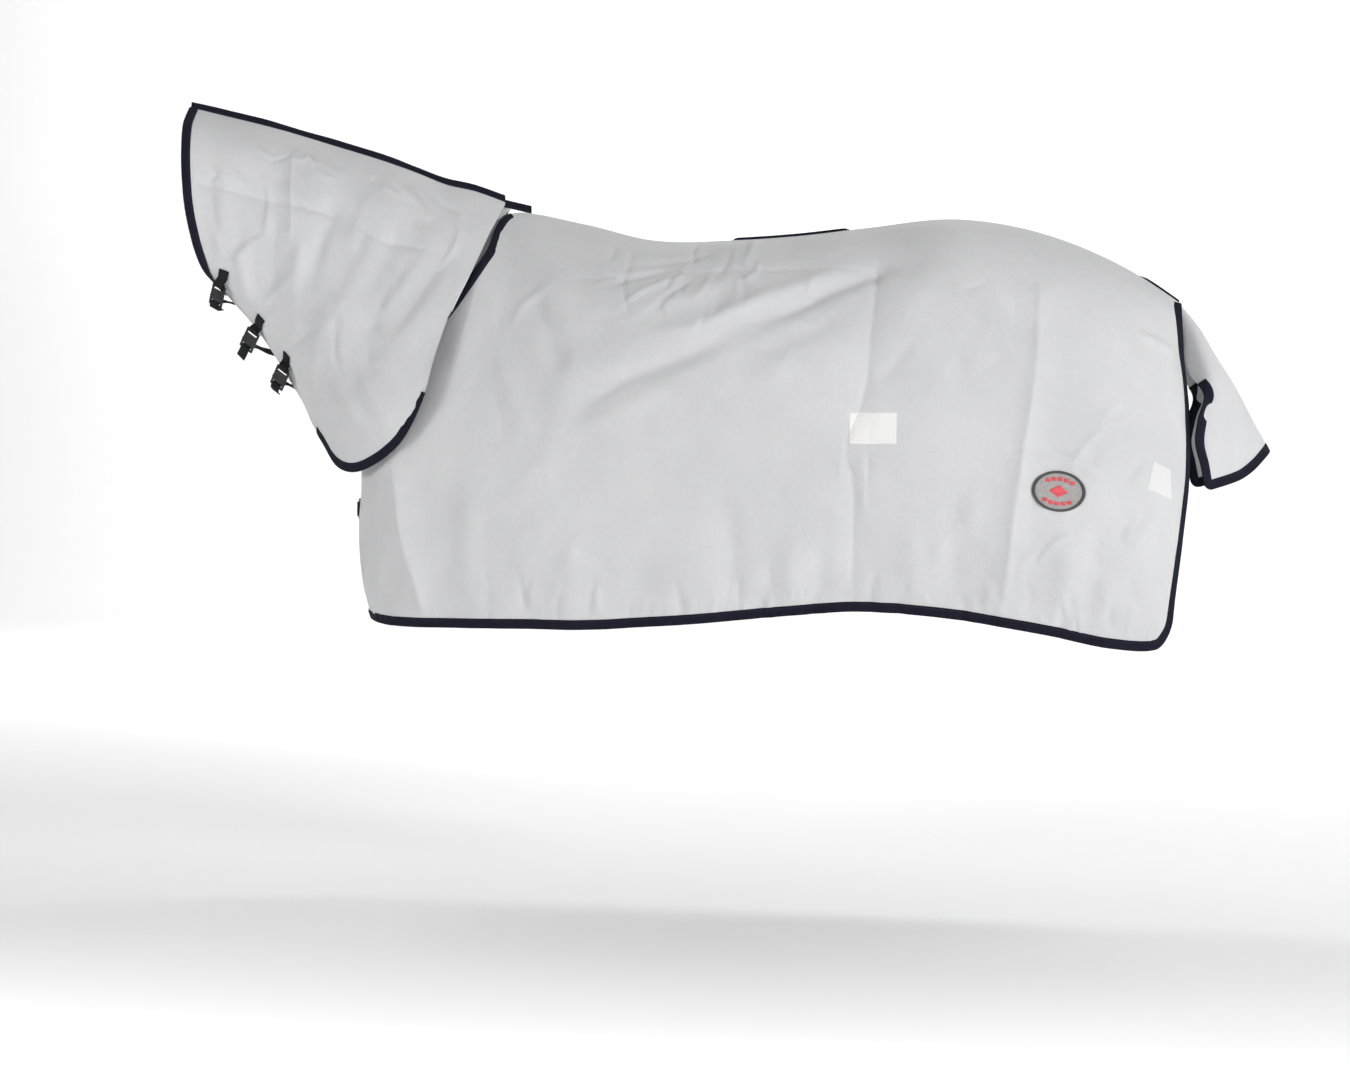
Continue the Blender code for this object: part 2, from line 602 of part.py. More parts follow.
def add_closure(tree, name, tab, centre, along, facing, sewn, way, end):
    """A tab sewn on the near side, its buckle, and the strap that comes from the off side through it."""
    place = buckle_place(centre, along, facing)
    set_off_panel(tree, place, BUCKLE_LENGTH, BUCKLE_WIDTH)
    across = np.array(place.to_3x3().col[1])
    loop = in_buckle(place, [(-step, out) for step, out in loop_round_bar(BUCKLE_LENGTH)])
    points, turned = sewn_end(tree, tab, False, across)
    add_webbing(f"{name}_tab", points + loop, [turned] * len(points) + [across] * len(loop))
    add_buckle(f"{name}_buckle", place, BUCKLE_LENGTH, BUCKLE_WIDTH)
    clear = BUCKLE / 2 + WEBBING / 2 + LEAST_GAP
    slot = BUCKLE_LENGTH * SLOT_PLACE
    half = BUCKLE_LENGTH / 2
    through = in_buckle(place, [(slot - 0.0015, -0.008), (slot - 0.0005, 0), (slot + 0.0030, clear),
                                (half - 0.0015, clear + 0.0006), (half + 0.0030, clear)])
    points, turned = sewn_end(tree, sewn, True, across)
    sides = [turned] * len(points) + [(turned + across) / 2] * len(way) + [across] * (len(through) + 1)
    add_webbing(f"{name}_strap", points + list(way) + through + [end], sides)


def add_patch(name, tree, corners, spec, counts):
    """A patch of cloth on the panel, between four corners given as (x, z)."""
    a, b, c, d = (np.array(corner) for corner in corners)
    grid = []
    for u in np.linspace(0, 1, counts[0]):
        column = []
        for v in np.linspace(0, 1, counts[1]):
            spot = (a * (1 - u) + b * u) * (1 - v) + (d * (1 - u) + c * u) * v
            point, _ = on_panel(tree, *spot)
            column.append(point)
        grid.append(column)
    grid = np.array(grid)
    lift = normals_of(grid).mean(axis=(0, 1))
    add_sheet(name, grid + lift / np.linalg.norm(lift) * PATCH_LIFT, spec, thickness=PATCH)


def add_badge(tree):
    """An oval badge that follows the panel, with a raised rim."""
    tilt = np.radians(BADGE_TILT)
    around = np.linspace(0, 2 * np.pi, 37)[:-1]
    rings = []
    for radius, rise in ((0.30, 0), (0.58, 0), (0.84, 0), (0.88, BADGE_RIM), (1.0, BADGE_RIM)):
        u = np.cos(around) * radius * BADGE_SIZE[0] / 2
        v = np.sin(around) * radius * BADGE_SIZE[1] / 2
        x = BADGE_CENTRE[0] + u * np.cos(tilt) + v * np.sin(tilt)
        z = BADGE_CENTRE[1] - u * np.sin(tilt) + v * np.cos(tilt)
        rings.append([on_panel(tree, *spot)[0] - (0, rise + PATCH_LIFT, 0) for spot in zip(x, z)])
    build = bmesh.new()
    verts = [[build.verts.new(point) for point in ring] for ring in rings]
    middle = build.verts.new(on_panel(tree, *BADGE_CENTRE)[0] - (0, PATCH_LIFT, 0))
    for k in range(len(around)):
        after = (k + 1) % len(around)
        build.faces.new((middle, verts[0][k], verts[0][after]))
        for inner, outer in zip(verts[:-1], verts[1:]):
            build.faces.new((inner[k], outer[k], outer[after], inner[after]))
    mesh = bpy.data.meshes.new("badge")
    build.to_mesh(mesh)
    build.free()
    thicken(add_object("badge", mesh, BADGE_GREY), PATCH)


def add_chest_closure(tree):
    """The tab, buckle and strap across the front edges of the body."""
    place = buckle_place((-0.965, -0.030, CHEST_HEIGHT), (-0.50, 0.86, 0.05), (-0.86, -0.50, 0.0))
    across = [np.array(place.to_3x3().col[1])]
    loop = loop_round_bar(CHEST_LENGTH)
    near = [on_chest(tree, y, CHEST_HEIGHT) - (TAB_LIFT, 0, 0) for y in (-0.110, -0.085)]
    off = [mirrored(point) for point in near]
    add_webbing("chest_tab", near + in_buckle(place, [(-step, out) for step, out in loop]), across * 9, CHEST_WEBBING)
    add_buckle("chest_buckle", place, CHEST_LENGTH, CHEST_WIDTH)
    across_gap = [(-0.966, 0.040, CHEST_HEIGHT)]
    add_webbing("chest_strap", off + across_gap + in_buckle(place, loop), across * 10, CHEST_WEBBING)


# ---- The object

clear_scene()
parts = new_collection("horse_combo_rug")
cutters = new_collection("cutters")


def build_body():
    """Both body panels, their bindings and the patches on the near one."""
    fine, rib_places = fine_sheet(BODY_RIBS)
    fine = add_folds(fine, BODY_FOLDS)
    fine[..., 1] = np.minimum(fine[..., 1], 0) - SEAM_GAP
    withers = rib_places[WITHERS_RIB]
    tip = withers + RING / lengths_of(fine)[0][0]
    regular = np.linspace(0, 1, BODY_COLUMNS + 1)[1:-1]
    regular = regular[(np.abs(regular - withers) > 0.02) & (np.abs(regular - tip) > 0.02)]
    columns = np.sort(np.concatenate([regular, [withers, tip]]))
    rows = np.linspace(0, 1, BODY_ROWS + 1)[1:-1]
    grid = coarse_sheet(fine, columns, rows, True, (0.075, 0.055))
    normal = faceted_normals(grid)
    last_column, last_row = grid.shape[0] - 1, grid.shape[1] - 1
    withers_column = 2 + int(np.argmin(np.abs(columns - withers)))

    neckline = [(0, 0, 1, 1)] + [(i, 0, i, 1) for i in range(1, withers_column)]
    corner = withers_column
    neckline += [(corner, 0, corner, 1), (corner, 0, corner + 1, 1), (corner, 0, corner + 1, 0)]
    down_front = [(0, j, 1, j) for j in range(2, last_row)]
    corner_front = [(0, last_row, 1, last_row - 1)]
    hem = [(i, last_row, i, last_row - 1) for i in range(1, last_column)]
    corner_rear = [(last_column, last_row, last_column - 1, last_row - 1)]
    up_rear = [(last_column, j, last_column - 1, j) for j in range(last_row - 1, -1, -1)]
    edging = border(grid, normal, down_front + corner_front + hem + corner_rear + up_rear)
    for side, off_side in (("near", False), ("off", True)):
        add_sheet(f"body_{side}", grid, COTTON, off_side)
        turned = [mirrored(item)[::-1] for item in edging] if off_side else edging
        add_tape(f"edge_binding_{side}", *turned)
    add_tape("neckline_binding", *both_sides(border(grid, normal, neckline)))

    spine = fine[:, 0].copy()
    spine[:, 1] = 0
    spine = spine[(spine[:, 0] > SPINE_REACH[0]) & (spine[:, 0] < SPINE_REACH[1])][::4]
    middle, half = sum(SPINE_UPRIGHT) / 2, (SPINE_UPRIGHT[1] - SPINE_UPRIGHT[0]) / 2
    upright = np.clip((half - np.abs(spine[:, 0] - middle)) * 20, 0, 1)
    upright += np.clip((spine[:, 0] - 0.80) * 20, 0, 1)
    add_fin("spine_binding", spine, SPINE_FIN, np.radians(SPINE_LEAN) * (1 - upright))
    tree = panel_tree(grid)
    add_patch("side_patch", tree, SIDE_PATCH, PATCH_CLOTH, (9, 6))
    add_patch("rear_patch", tree, REAR_PATCH, PATCH_CLOTH, (9, 7))
    add_badge(tree)
    add_chest_closure(tree)


def build_neck():
    """Both neck panels with the pleat at their rear, and their bindings."""
    fine, _ = fine_sheet(NECK_RIBS)
    fine = add_folds(fine, NECK_FOLDS)
    fine[..., 1] = np.minimum(fine[..., 1], 0) - SEAM_GAP
    columns = np.linspace(0, 1, NECK_COLUMNS + 1)[1:-1]
    rows = np.linspace(0, 1, NECK_ROWS + 1)[1:-1]
    grid = coarse_sheet(fine, columns, rows, False, (0.020, 0.040))
    normal = faceted_normals(grid)
    last_column, last_row = grid.shape[0] - 1, grid.shape[1] - 1

    bound = [i for i in range(1, last_column) if grid[i, last_row, 0] > BINDING_START]
    throat_to_fold = [(i, last_row, i, last_row - 1) for i in bound]
    throat_to_fold.append((last_column, last_row, last_column - 1, last_row - 1))
    lower = border(grid, normal, throat_to_fold)
    front = border(grid, normal, [(0, j, 1, j) for j in range(last_row - 2, -1, -1)])
    for side, off_side in (("near", False), ("off", True)):
        add_neck_panel(f"neck_{side}", grid, normal, off_side)
        turned = [mirrored(item)[::-1] for item in lower] if off_side else lower
        add_tape(f"neck_lower_binding_{side}", *turned)
    add_tape("neck_front_binding", *[item[::-1] for item in both_sides(front)])

    tree = panel_tree(grid)
    for closure in CLOSURES:
        add_closure(tree, *closure)

    crest = fine[::6, 0].copy()
    crest[:, 1] = 0
    sway = 0.35 * np.sin(crest[:, 0] * 21)
    shown = (crest[:, 0] > CREST_REACH[0]) & (crest[:, 0] < CREST_REACH[1])
    add_fin("crest_binding", crest[shown], CREST_FIN, sway[shown])
    add_fin("withers_binding", WITHERS_LINE, WITHERS_FIN, 0.0)


def add_neck_panel(name, grid, normal, off_side):
    """The neck panel: the outer layer, and at its rear a pleat whose under-layer reaches the neckline."""
    rows = range(PLEAT_ROWS + 1)
    back = grid[-1] - grid[-3]
    back /= np.linalg.norm(back, axis=-1, keepdims=True)
    strip = [grid[-1, rows]]
    for inward, forward in PLEAT:
        strip.append(grid[-1, rows] - normal[-1, rows] * inward - back[rows] * forward)
    reach = UNDER_REACH * np.clip(1 - np.array(rows) / 0.85, -0.35, 1)
    strip.append(grid[-1, rows] - normal[-1, rows] * 0.0125 + back[rows] * reach[:, None])
    pleat = np.array(strip)
    pleat[:, 0, 1] = -SEAM_GAP - 0.0005
    side = mirrored if off_side else np.asarray
    build = bmesh.new()
    add_faces(build, side(grid), diagonals(grid, normals_of(grid)), off_side)
    add_faces(build, side(pleat), np.zeros((len(PLEAT) + 1, PLEAT_ROWS), bool), off_side)
    bmesh.ops.remove_doubles(build, verts=build.verts, dist=0.0001)
    mesh = bpy.data.meshes.new(name)
    build.to_mesh(mesh)
    build.free()
    thicken(add_object(name, mesh, COTTON), CLOTH)


def build_tail_flap():
    near = FLAP_RIBS
    off = [[(x, -y, z) for x, y, z in rib] for rib in FLAP_RIBS[-2::-1]]
    fine, _ = fine_sheet(near + off)
    columns = np.linspace(0, 1, FLAP_COLUMNS + 1)[1:-1]
    rows = np.linspace(0, 1, FLAP_ROWS + 1)[1:-1]
    grid = coarse_sheet(fine, columns, rows, False, (0.020, 0.020))
    normal = faceted_normals(grid)
    add_sheet("tail_flap", grid, COTTON)
    last_column, last_row = grid.shape[0] - 1, grid.shape[1] - 1
    path = [(0, j, 1, j) for j in range(2, last_row)]
    path.append((0, last_row, 1, last_row - 1))
    path += [(i, last_row, i, last_row - 1) for i in range(1, last_column)]
    path.append((last_column, last_row, last_column - 1, last_row - 1))
    path += [(last_column, j, last_column - 1, j) for j in range(last_row - 1, 1, -1)]
    add_tape("tail_flap_binding", *border(grid, normal, path))


build_body()
build_neck()
build_tail_flap()
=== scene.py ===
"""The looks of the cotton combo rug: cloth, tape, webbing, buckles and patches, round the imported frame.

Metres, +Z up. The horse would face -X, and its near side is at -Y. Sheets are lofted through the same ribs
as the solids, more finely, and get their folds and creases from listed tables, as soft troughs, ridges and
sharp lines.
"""

import bmesh
import bpy
import numpy as np
from mathutils import Matrix, Vector, noise
from mathutils.bvhtree import BVHTree


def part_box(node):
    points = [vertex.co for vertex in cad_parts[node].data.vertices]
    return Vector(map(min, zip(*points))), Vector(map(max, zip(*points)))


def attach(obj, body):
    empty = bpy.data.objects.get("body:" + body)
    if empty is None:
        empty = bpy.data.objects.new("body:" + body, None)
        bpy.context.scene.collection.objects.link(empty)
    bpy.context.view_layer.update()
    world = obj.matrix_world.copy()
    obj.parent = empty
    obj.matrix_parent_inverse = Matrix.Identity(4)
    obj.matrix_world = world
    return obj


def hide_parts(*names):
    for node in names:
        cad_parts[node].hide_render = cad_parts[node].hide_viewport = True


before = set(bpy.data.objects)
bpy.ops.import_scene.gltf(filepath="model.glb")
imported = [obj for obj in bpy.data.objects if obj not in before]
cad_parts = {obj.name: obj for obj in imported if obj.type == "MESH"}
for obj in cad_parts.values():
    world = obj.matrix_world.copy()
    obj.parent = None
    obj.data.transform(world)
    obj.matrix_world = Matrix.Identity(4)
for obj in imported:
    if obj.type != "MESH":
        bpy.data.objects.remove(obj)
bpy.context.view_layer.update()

# Thicknesses, widths, and how far pieces stand off the cloth.
SEAM_GAP = 0.0016
CLOTH = 0.0012
TAPE = 0.0011
TAPE_WIDTH = 0.020
STITCH_PITCH = 0.0042
STITCH_ROW = 0.0175
FIN_HALF = 0.0024
CREST_HEIGHT = 0.018
SPINE_HEIGHT = 0.009
SPINE_LEAN = 62
WEBBING = 0.0018
WEBBING_WIDTH = 0.025
TAB_LIFT = 0.0030
PATCH_LIFT = 0.0012
BUCKLE = 0.0050
STRAP_CLEAR = BUCKLE / 2 + WEBBING / 2 + 0.0004
THROAT_BUCKLE = (0.052, 0.038)
CHEST_BUCKLE = (0.042, 0.050)
CHEST_WEBBING = 0.034
CHEST_HEIGHT = -0.620
FLOOR_Z = -1.56

# Columns and rows of each sheet: as it gets its folds, and as it is cut.
BODY_FINE, BODY_GRID = (561, 301), (421, 221)
NECK_FINE, NECK_GRID = (361, 261), (281, 201)
FLAP_FINE, FLAP_GRID = (161, 121), (121, 91)


def metres(table):
    """A table in millimetres, as lists in metres."""
    return [metres(part) for part in table] if isinstance(table, (list, tuple)) else table / 1000


# Ribs from the front to the rear, each from the top edge down to the hem: points (x, y, z).
BODY_RIBS = metres([
    [(-955, -5, -490), (-955, -5, -550), (-945, -5, -620), (-955, -5, -680),
     (-958, -5, -740), (-950, -5, -800), (-940, -5, -860)],
    [(-925, -110, -430), (-932, -117, -505), (-932, -122, -580), (-935, -127, -650),
     (-932, -130, -720), (-922, -134, -790), (-905, -135, -865)],
    [(-840, -160, -320), (-855, -188, -415), (-862, -204, -510), (-865, -214, -600),
     (-862, -221, -690), (-855, -226, -780), (-840, -228, -870)],
    [(-700, -158, -145), (-690, -200, -245), (-680, -238, -360), (-675, -264, -485),
     (-670, -277, -610), (-665, -282, -740), (-660, -282, -870)],
    [(-640, -108, -37), (-600, -165, -135), (-565, -220, -255), (-540, -265, -390),
     (-525, -295, -540), (-515, -303, -700), (-505, -303, -868)],
    [(-590, 0, 70), (-530, -90, 0), (-470, -180, -100), (-420, -255, -235),
     (-380, -300, -400), (-355, -315, -620), (-340, -312, -866)],
    [(-440, 0, 42), (-405, -105, -22), (-365, -200, -115), (-325, -270, -240),
     (-290, -310, -405), (-265, -318, -620), (-250, -313, -860)],
    [(-270, 0, 0), (-245, -120, -45), (-215, -220, -125), (-185, -288, -250),
     (-160, -318, -415), (-140, -322, -630), (-130, -314, -851)],
    [(-80, 0, -3), (-65, -130, -40), (-45, -232, -122), (-25, -296, -250),
     (-10, -321, -420), (0, -322, -630), (0, -312, -838)],
    [(65, 0, 4), (70, -130, -32), (80, -234, -117), (90, -297, -250),
     (100, -321, -420), (105, -322, -625), (105, -310, -828)],
    [(210, 0, 18), (210, -130, -20), (210, -232, -110), (210, -296, -250),
     (210, -320, -420), (210, -322, -620), (210, -308, -820)],
    [(420, 0, 34), (420, -130, -5), (420, -230, -100), (420, -292, -240),
     (420, -315, -420), (420, -318, -620), (420, -308, -832)],
    [(600, 0, 1), (600, -120, -45), (600, -212, -135), (602, -276, -270),
     (605, -305, -440), (610, -312, -640), (610, -305, -862)],
    [(750, 0, -60), (752, -100, -105), (758, -180, -190), (762, -245, -310),
     (765, -285, -470), (760, -298, -660), (750, -295, -890)],
    [(850, 0, -120), (862, -68, -170), (870, -128, -260), (878, -185, -375),
     (878, -228, -525), (862, -252, -705), (838, -260, -895)],
    [(905, -4, -160), (905, -34, -200), (908, -72, -290), (914, -122, -400),
     (912, -172, -540), (893, -208, -710), (872, -232, -885)],
])
WITHERS_RIB = 5

NECK_RIBS = metres([
    [(-1394, 0, 336), (-1374, -85, 277), (-1360, -125, 165), (-1345, -130, 45),
     (-1318, -105, -60), (-1283, -50, -115)],
    [(-1220, 0, 292), (-1228, -82, 225), (-1232, -122, 105), (-1232, -126, -20),
     (-1222, -95, -135), (-1200, -32, -222)],
    [(-1070, 0, 247), (-1085, -85, 170), (-1100, -130, 35), (-1115, -135, -100),
     (-1125, -100, -225), (-1125, -33, -335)],
    [(-920, 0, 200), (-940, -90, 110), (-970, -150, -35), (-998, -178, -180),
     (-1020, -165, -325), (-1030, -115, -457)],
    [(-835, 0, 168), (-860, -95, 75), (-890, -165, -70), (-920, -208, -225),
     (-945, -212, -380), (-965, -178, -520)],
    [(-765, 0, 140), (-785, -90, 50), (-815, -170, -85), (-845, -226, -230),
     (-875, -242, -380), (-900, -215, -525)],
    [(-690, 0, 122), (-708, -85, 35), (-735, -168, -80), (-765, -230, -205),
     (-785, -260, -335), (-800, -256, -468)],
    [(-620, 0, 96), (-640, -82, 10), (-666, -162, -95), (-697, -222, -195),
     (-717, -258, -285), (-735, -272, -370)],
])

FLAP_RIBS = metres([
    [(906, -50, -262), (918, -86, -316), (946, -134, -365), (932, -150, -415),
     (926, -160, -465), (938, -165, -515), (948, -160, -567)],
    [(907, -24, -200), (946, -66, -262), (972, -100, -322), (988, -115, -385),
     (1000, -120, -440), (1014, -118, -495), (1028, -110, -540)],
    [(907, 0, -164), (953, 0, -226), (990, 0, -288), (1020, 0, -340), (1048, 0, -392),
     (1074, 0, -440), (1096, 0, -482)],
])

# Soft troughs and ridges: points (x, z), half the width, depth outward.
BODY_FOLDS = metres([
    ([(320, -75), (80, -175), (-140, -275), (-350, -365)], 55, -7),
    ([(-100, -110), (-250, -190), (-430, -260)], 40, -4),
    ([(250, -180), (215, -460), (215, -810)], 45, -4),
    ([(590, -270), (570, -470), (525, -830)], 45, 5),
    ([(-820, -500), (-780, -700), (-738, -850)], 40, 6),
    ([(-810, -550), (-665, -650), (-590, -710), (-500, -840)], 50, -6),
    ([(-400, -700), (-400, -870)], 35, 6),
    ([(-230, -700), (-240, -860)], 35, -5),
    ([(800, -250), (790, -450), (740, -700)], 50, -5),
])
NECK_FOLDS = metres([
    ([(-755, -55), (-870, -185), (-955, -320)], 50, -7),
    ([(-1150, 200), (-1180, 0), (-1190, -150)], 40, -5),
    ([(-1020, 180), (-1060, 0), (-1090, -180)], 40, 5),
    ([(-880, 140), (-910, -60), (-960, -250)], 40, 5),
])
# Smaller folds that the solids leave out.
BODY_WRINKLES = metres([
    ([(330, -70), (180, -128), (80, -178), (-20, -222)], 16, -10),
    ([(-20, -222), (-144, -275), (-260, -315), (-380, -360)], 22, -10),
    ([(260, -60), (60, -140), (-80, -200), (-200, -250)], 18, 8.5),
    ([(-160, -75), (-280, -100), (-360, -130)], 7, -4.5),
    ([(-140, -85), (-240, -125), (-320, -180)], 7, 4.5),
    ([(-130, -95), (-190, -140), (-240, -200)], 6, -4.5),
    ([(-60, -30), (-200, -65), (-330, -70)], 8, -4),
    ([(0, -60), (-10, -100), (-50, -115)], 6, 4),
    ([(120, -100), (110, -150), (90, -170)], 6, 4),
    ([(-440, -100), (-520, -150), (-560, -210)], 12, 4),
    ([(250, -170), (50, -260), (-100, -330)], 26, -5),
    ([(120, -100), (-60, -180), (-220, -250)], 20, 5.4),
    ([(-10, -90), (-170, -150), (-330, -200)], 20, 4.8),
    ([(-120, -300), (-260, -380), (-420, -440)], 26, 4.8),
    ([(-520, -80), (-470, -220), (-400, -330)], 26, -5.4),
    ([(-600, -200), (-540, -360), (-480, -480)], 30, 6),
    ([(330, -120), (420, -260), (470, -420)], 35, -6.3),
    ([(440, -100), (520, -230), (560, -360)], 30, 5.4),
    ([(-60, -560), (-40, -700), (-50, -840)], 30, -6.7),
    ([(80, -640), (90, -820)], 28, 6.3),
    ([(145, -660), (150, -820)], 20, -4.5),
    ([(330, -600), (345, -810)], 28, 6.3),
    ([(430, -560), (425, -820)], 28, -6.3),
    ([(500, -520), (440, -640), (330, -740)], 26, 4.8),
    ([(-620, -560), (-640, -720), (-620, -850)], 30, 6.7),
    ([(-880, -600), (-870, -760), (-840, -860)], 20, -6.7),
    ([(-915, -640), (-905, -790), (-880, -860)], 14, 5.3),
    ([(660, -620), (650, -860)], 28, 6),
    ([(720, -600), (700, -880)], 24, -5.4),
    ([(797, -224), (850, -255), (895, -280)], 10, 4.5),
])
NECK_WRINKLES = metres([
    ([(-1310, 150), (-1285, 20), (-1260, -40)], 12, 3.5),
    ([(-1180, 180), (-1150, 90), (-1160, 0)], 9, 4),
    ([(-1060, 190), (-1030, 150), (-990, 140)], 7, 4.5),
    ([(-1010, 90), (-940, 30), (-900, -10)], 8, 4),
    ([(-860, 140), (-800, 80), (-770, 40)], 9, 5),
    ([(-800, 120), (-740, 80), (-700, 60)], 8, -5),
    ([(-735, 90), (-700, 0), (-740, -80)], 10, 4.5),
    ([(-1290, 200), (-1295, 80), (-1270, -40)], 22, -5),
    ([(-1250, 240), (-1262, 120), (-1255, -40)], 20, 5.6),
    ([(-1200, 20), (-1215, -80), (-1195, -150)], 18, 5.6),
    ([(-1120, 100), (-1140, -50), (-1150, -180)], 20, -5.6),
    ([(-980, 140), (-1020, -10), (-1050, -160)], 22, -6.3),
    ([(-960, -100), (-1010, -230), (-1040, -360)], 22, 6.3),
    ([(-830, 90), (-860, -40), (-910, -160)], 24, -6.3),
    ([(-740, 60), (-790, -80), (-840, -190)], 22, 6.3),
    ([(-700, 0), (-760, -120), (-850, -260)], 18, -4.9),
    ([(-930, -260), (-900, -370), (-840, -440)], 20, -4.9),
    ([(-1255, -70), (-1200, -10), (-1130, 20)], 12, 4.2),
    ([(-1190, -160), (-1130, -110), (-1070, -80)], 12, 4.2),
    ([(-1120, -250), (-1060, -220), (-1000, -200)], 12, -4.2),
])
# Sharp creases left by folding: points (x, z), half the width, depth outward.
BODY_CREASES = metres([
    ([(-443, -103), (-118, -90), (263, -89)], 9, -3.6),
    ([(257, -41), (251, -198), (233, -383), (201, -467), (216, -568), (214, -690),
      (212, -801)], 10, -5.2),
    ([(598, -104), (594, -272), (580, -401), (569, -474), (549, -621), (538, -721),
      (524, -831)], 13, 7.8),
    ([(-823, -491), (-804, -596), (-780, -705), (-742, -813), (-736, -849)], 16,
     7.8),
    ([(520, -470), (693, -507), (773, -550)], 12, -4.4),
])
NECK_CREASES = metres([
    ([(-1346, 152), (-1280, 130), (-1106, 85), (-978, 53), (-886, 1), (-801, -16),
      (-719, -43)], 11, -5.8),
    ([(-1114, 235), (-1100, 120), (-1089, 2)], 11, 6),
])

# Strewn crinkles, in metres: seed, count, the region's two corners (x, z), slants in degrees, lengths, half
# the width, depth.
BODY_CRINKLES = [
    (5, 16, (-0.36, -0.2), (-0.02, -0.03), (50, 110), (0.06, 0.14), 0.008, 0.0036),
    (6, 34, (-0.85, -0.84), (0.82, -0.76), (78, 102), (0.05, 0.14), 0.011, 0.0034),
    (8, 26, (-0.75, -0.75), (0.8, -0.12), (-60, 60), (0.05, 0.16), 0.012, 0.0026),
    (9, 12, (0.6, -0.8), (0.85, -0.3), (20, 80), (0.06, 0.14), 0.011, 0.0034),
    (12, 10, (0.17, -0.6), (0.26, -0.46), (70, 110), (0.04, 0.1), 0.006, 0.0022),
]
NECK_CRINKLES = [
    (21, 26, (-1.3, 0.1), (-0.7, 0.22), (-50, 20), (0.04, 0.1), 0.008, 0.0038),
    (22, 12, (-1.3, -0.1), (-0.8, 0.1), (70, 120), (0.08, 0.2), 0.015, 0.003),
    (23, 8, (-1.05, -0.42), (-0.8, -0.1), (55, 110), (0.08, 0.2), 0.016, 0.0028),
]
# How the rear edge of the neck cover folds under: (inward, forward) for each turn of the cloth.
PLEAT = [(0.0028, -0.0012), (0.0056, 0.0015), (0.0062, 0.03), (0.009, 0.032), (0.0118, 0.029)]

# Throat closures: name, the tab's sewn end (x, z), the ways the strap runs and the buckle faces, the
# strap's sewn end (x, z), which is on the off side, and its free end (x, y, z).
CLOSURES = [
    ("throat", [(-1.262, -0.062), (-1.268, -0.078)], (-0.35, 0.3, -0.87), (-0.35, -0.88, -0.25),
     [(-1.238, -0.095), (-1.244, -0.125)], (-1.297, -0.066, -0.146)),
    ("neck_2", [(-1.182, -0.17), (-1.202, -0.19)], (-0.53, 0.28, -0.8), (-0.25, -0.94, -0.15),
     [(-1.145, -0.228), (-1.152, -0.255)], (-1.257, -0.04, -0.26)),
    ("neck_3", [(-1.12, -0.256), (-1.128, -0.272)], (-0.5, 0.34, -0.79), (-0.25, -0.94, -0.15),
     [(-1.075, -0.318), (-1.082, -0.348)], (-1.166, -0.048, -0.343)),
]
SIDE_PATCH = [(0.206, -0.401), (0.306, -0.401), (0.306, -0.467), (0.206, -0.467)]
REAR_PATCH = [(0.833, -0.503), (0.87, -0.521), (0.872, -0.584), (0.819, -0.561)]
BADGE_CENTRE = (0.64, -0.565)
BADGE_SIZE = (0.11, 0.084)
BADGE_TILT = 8


# ---- Materials


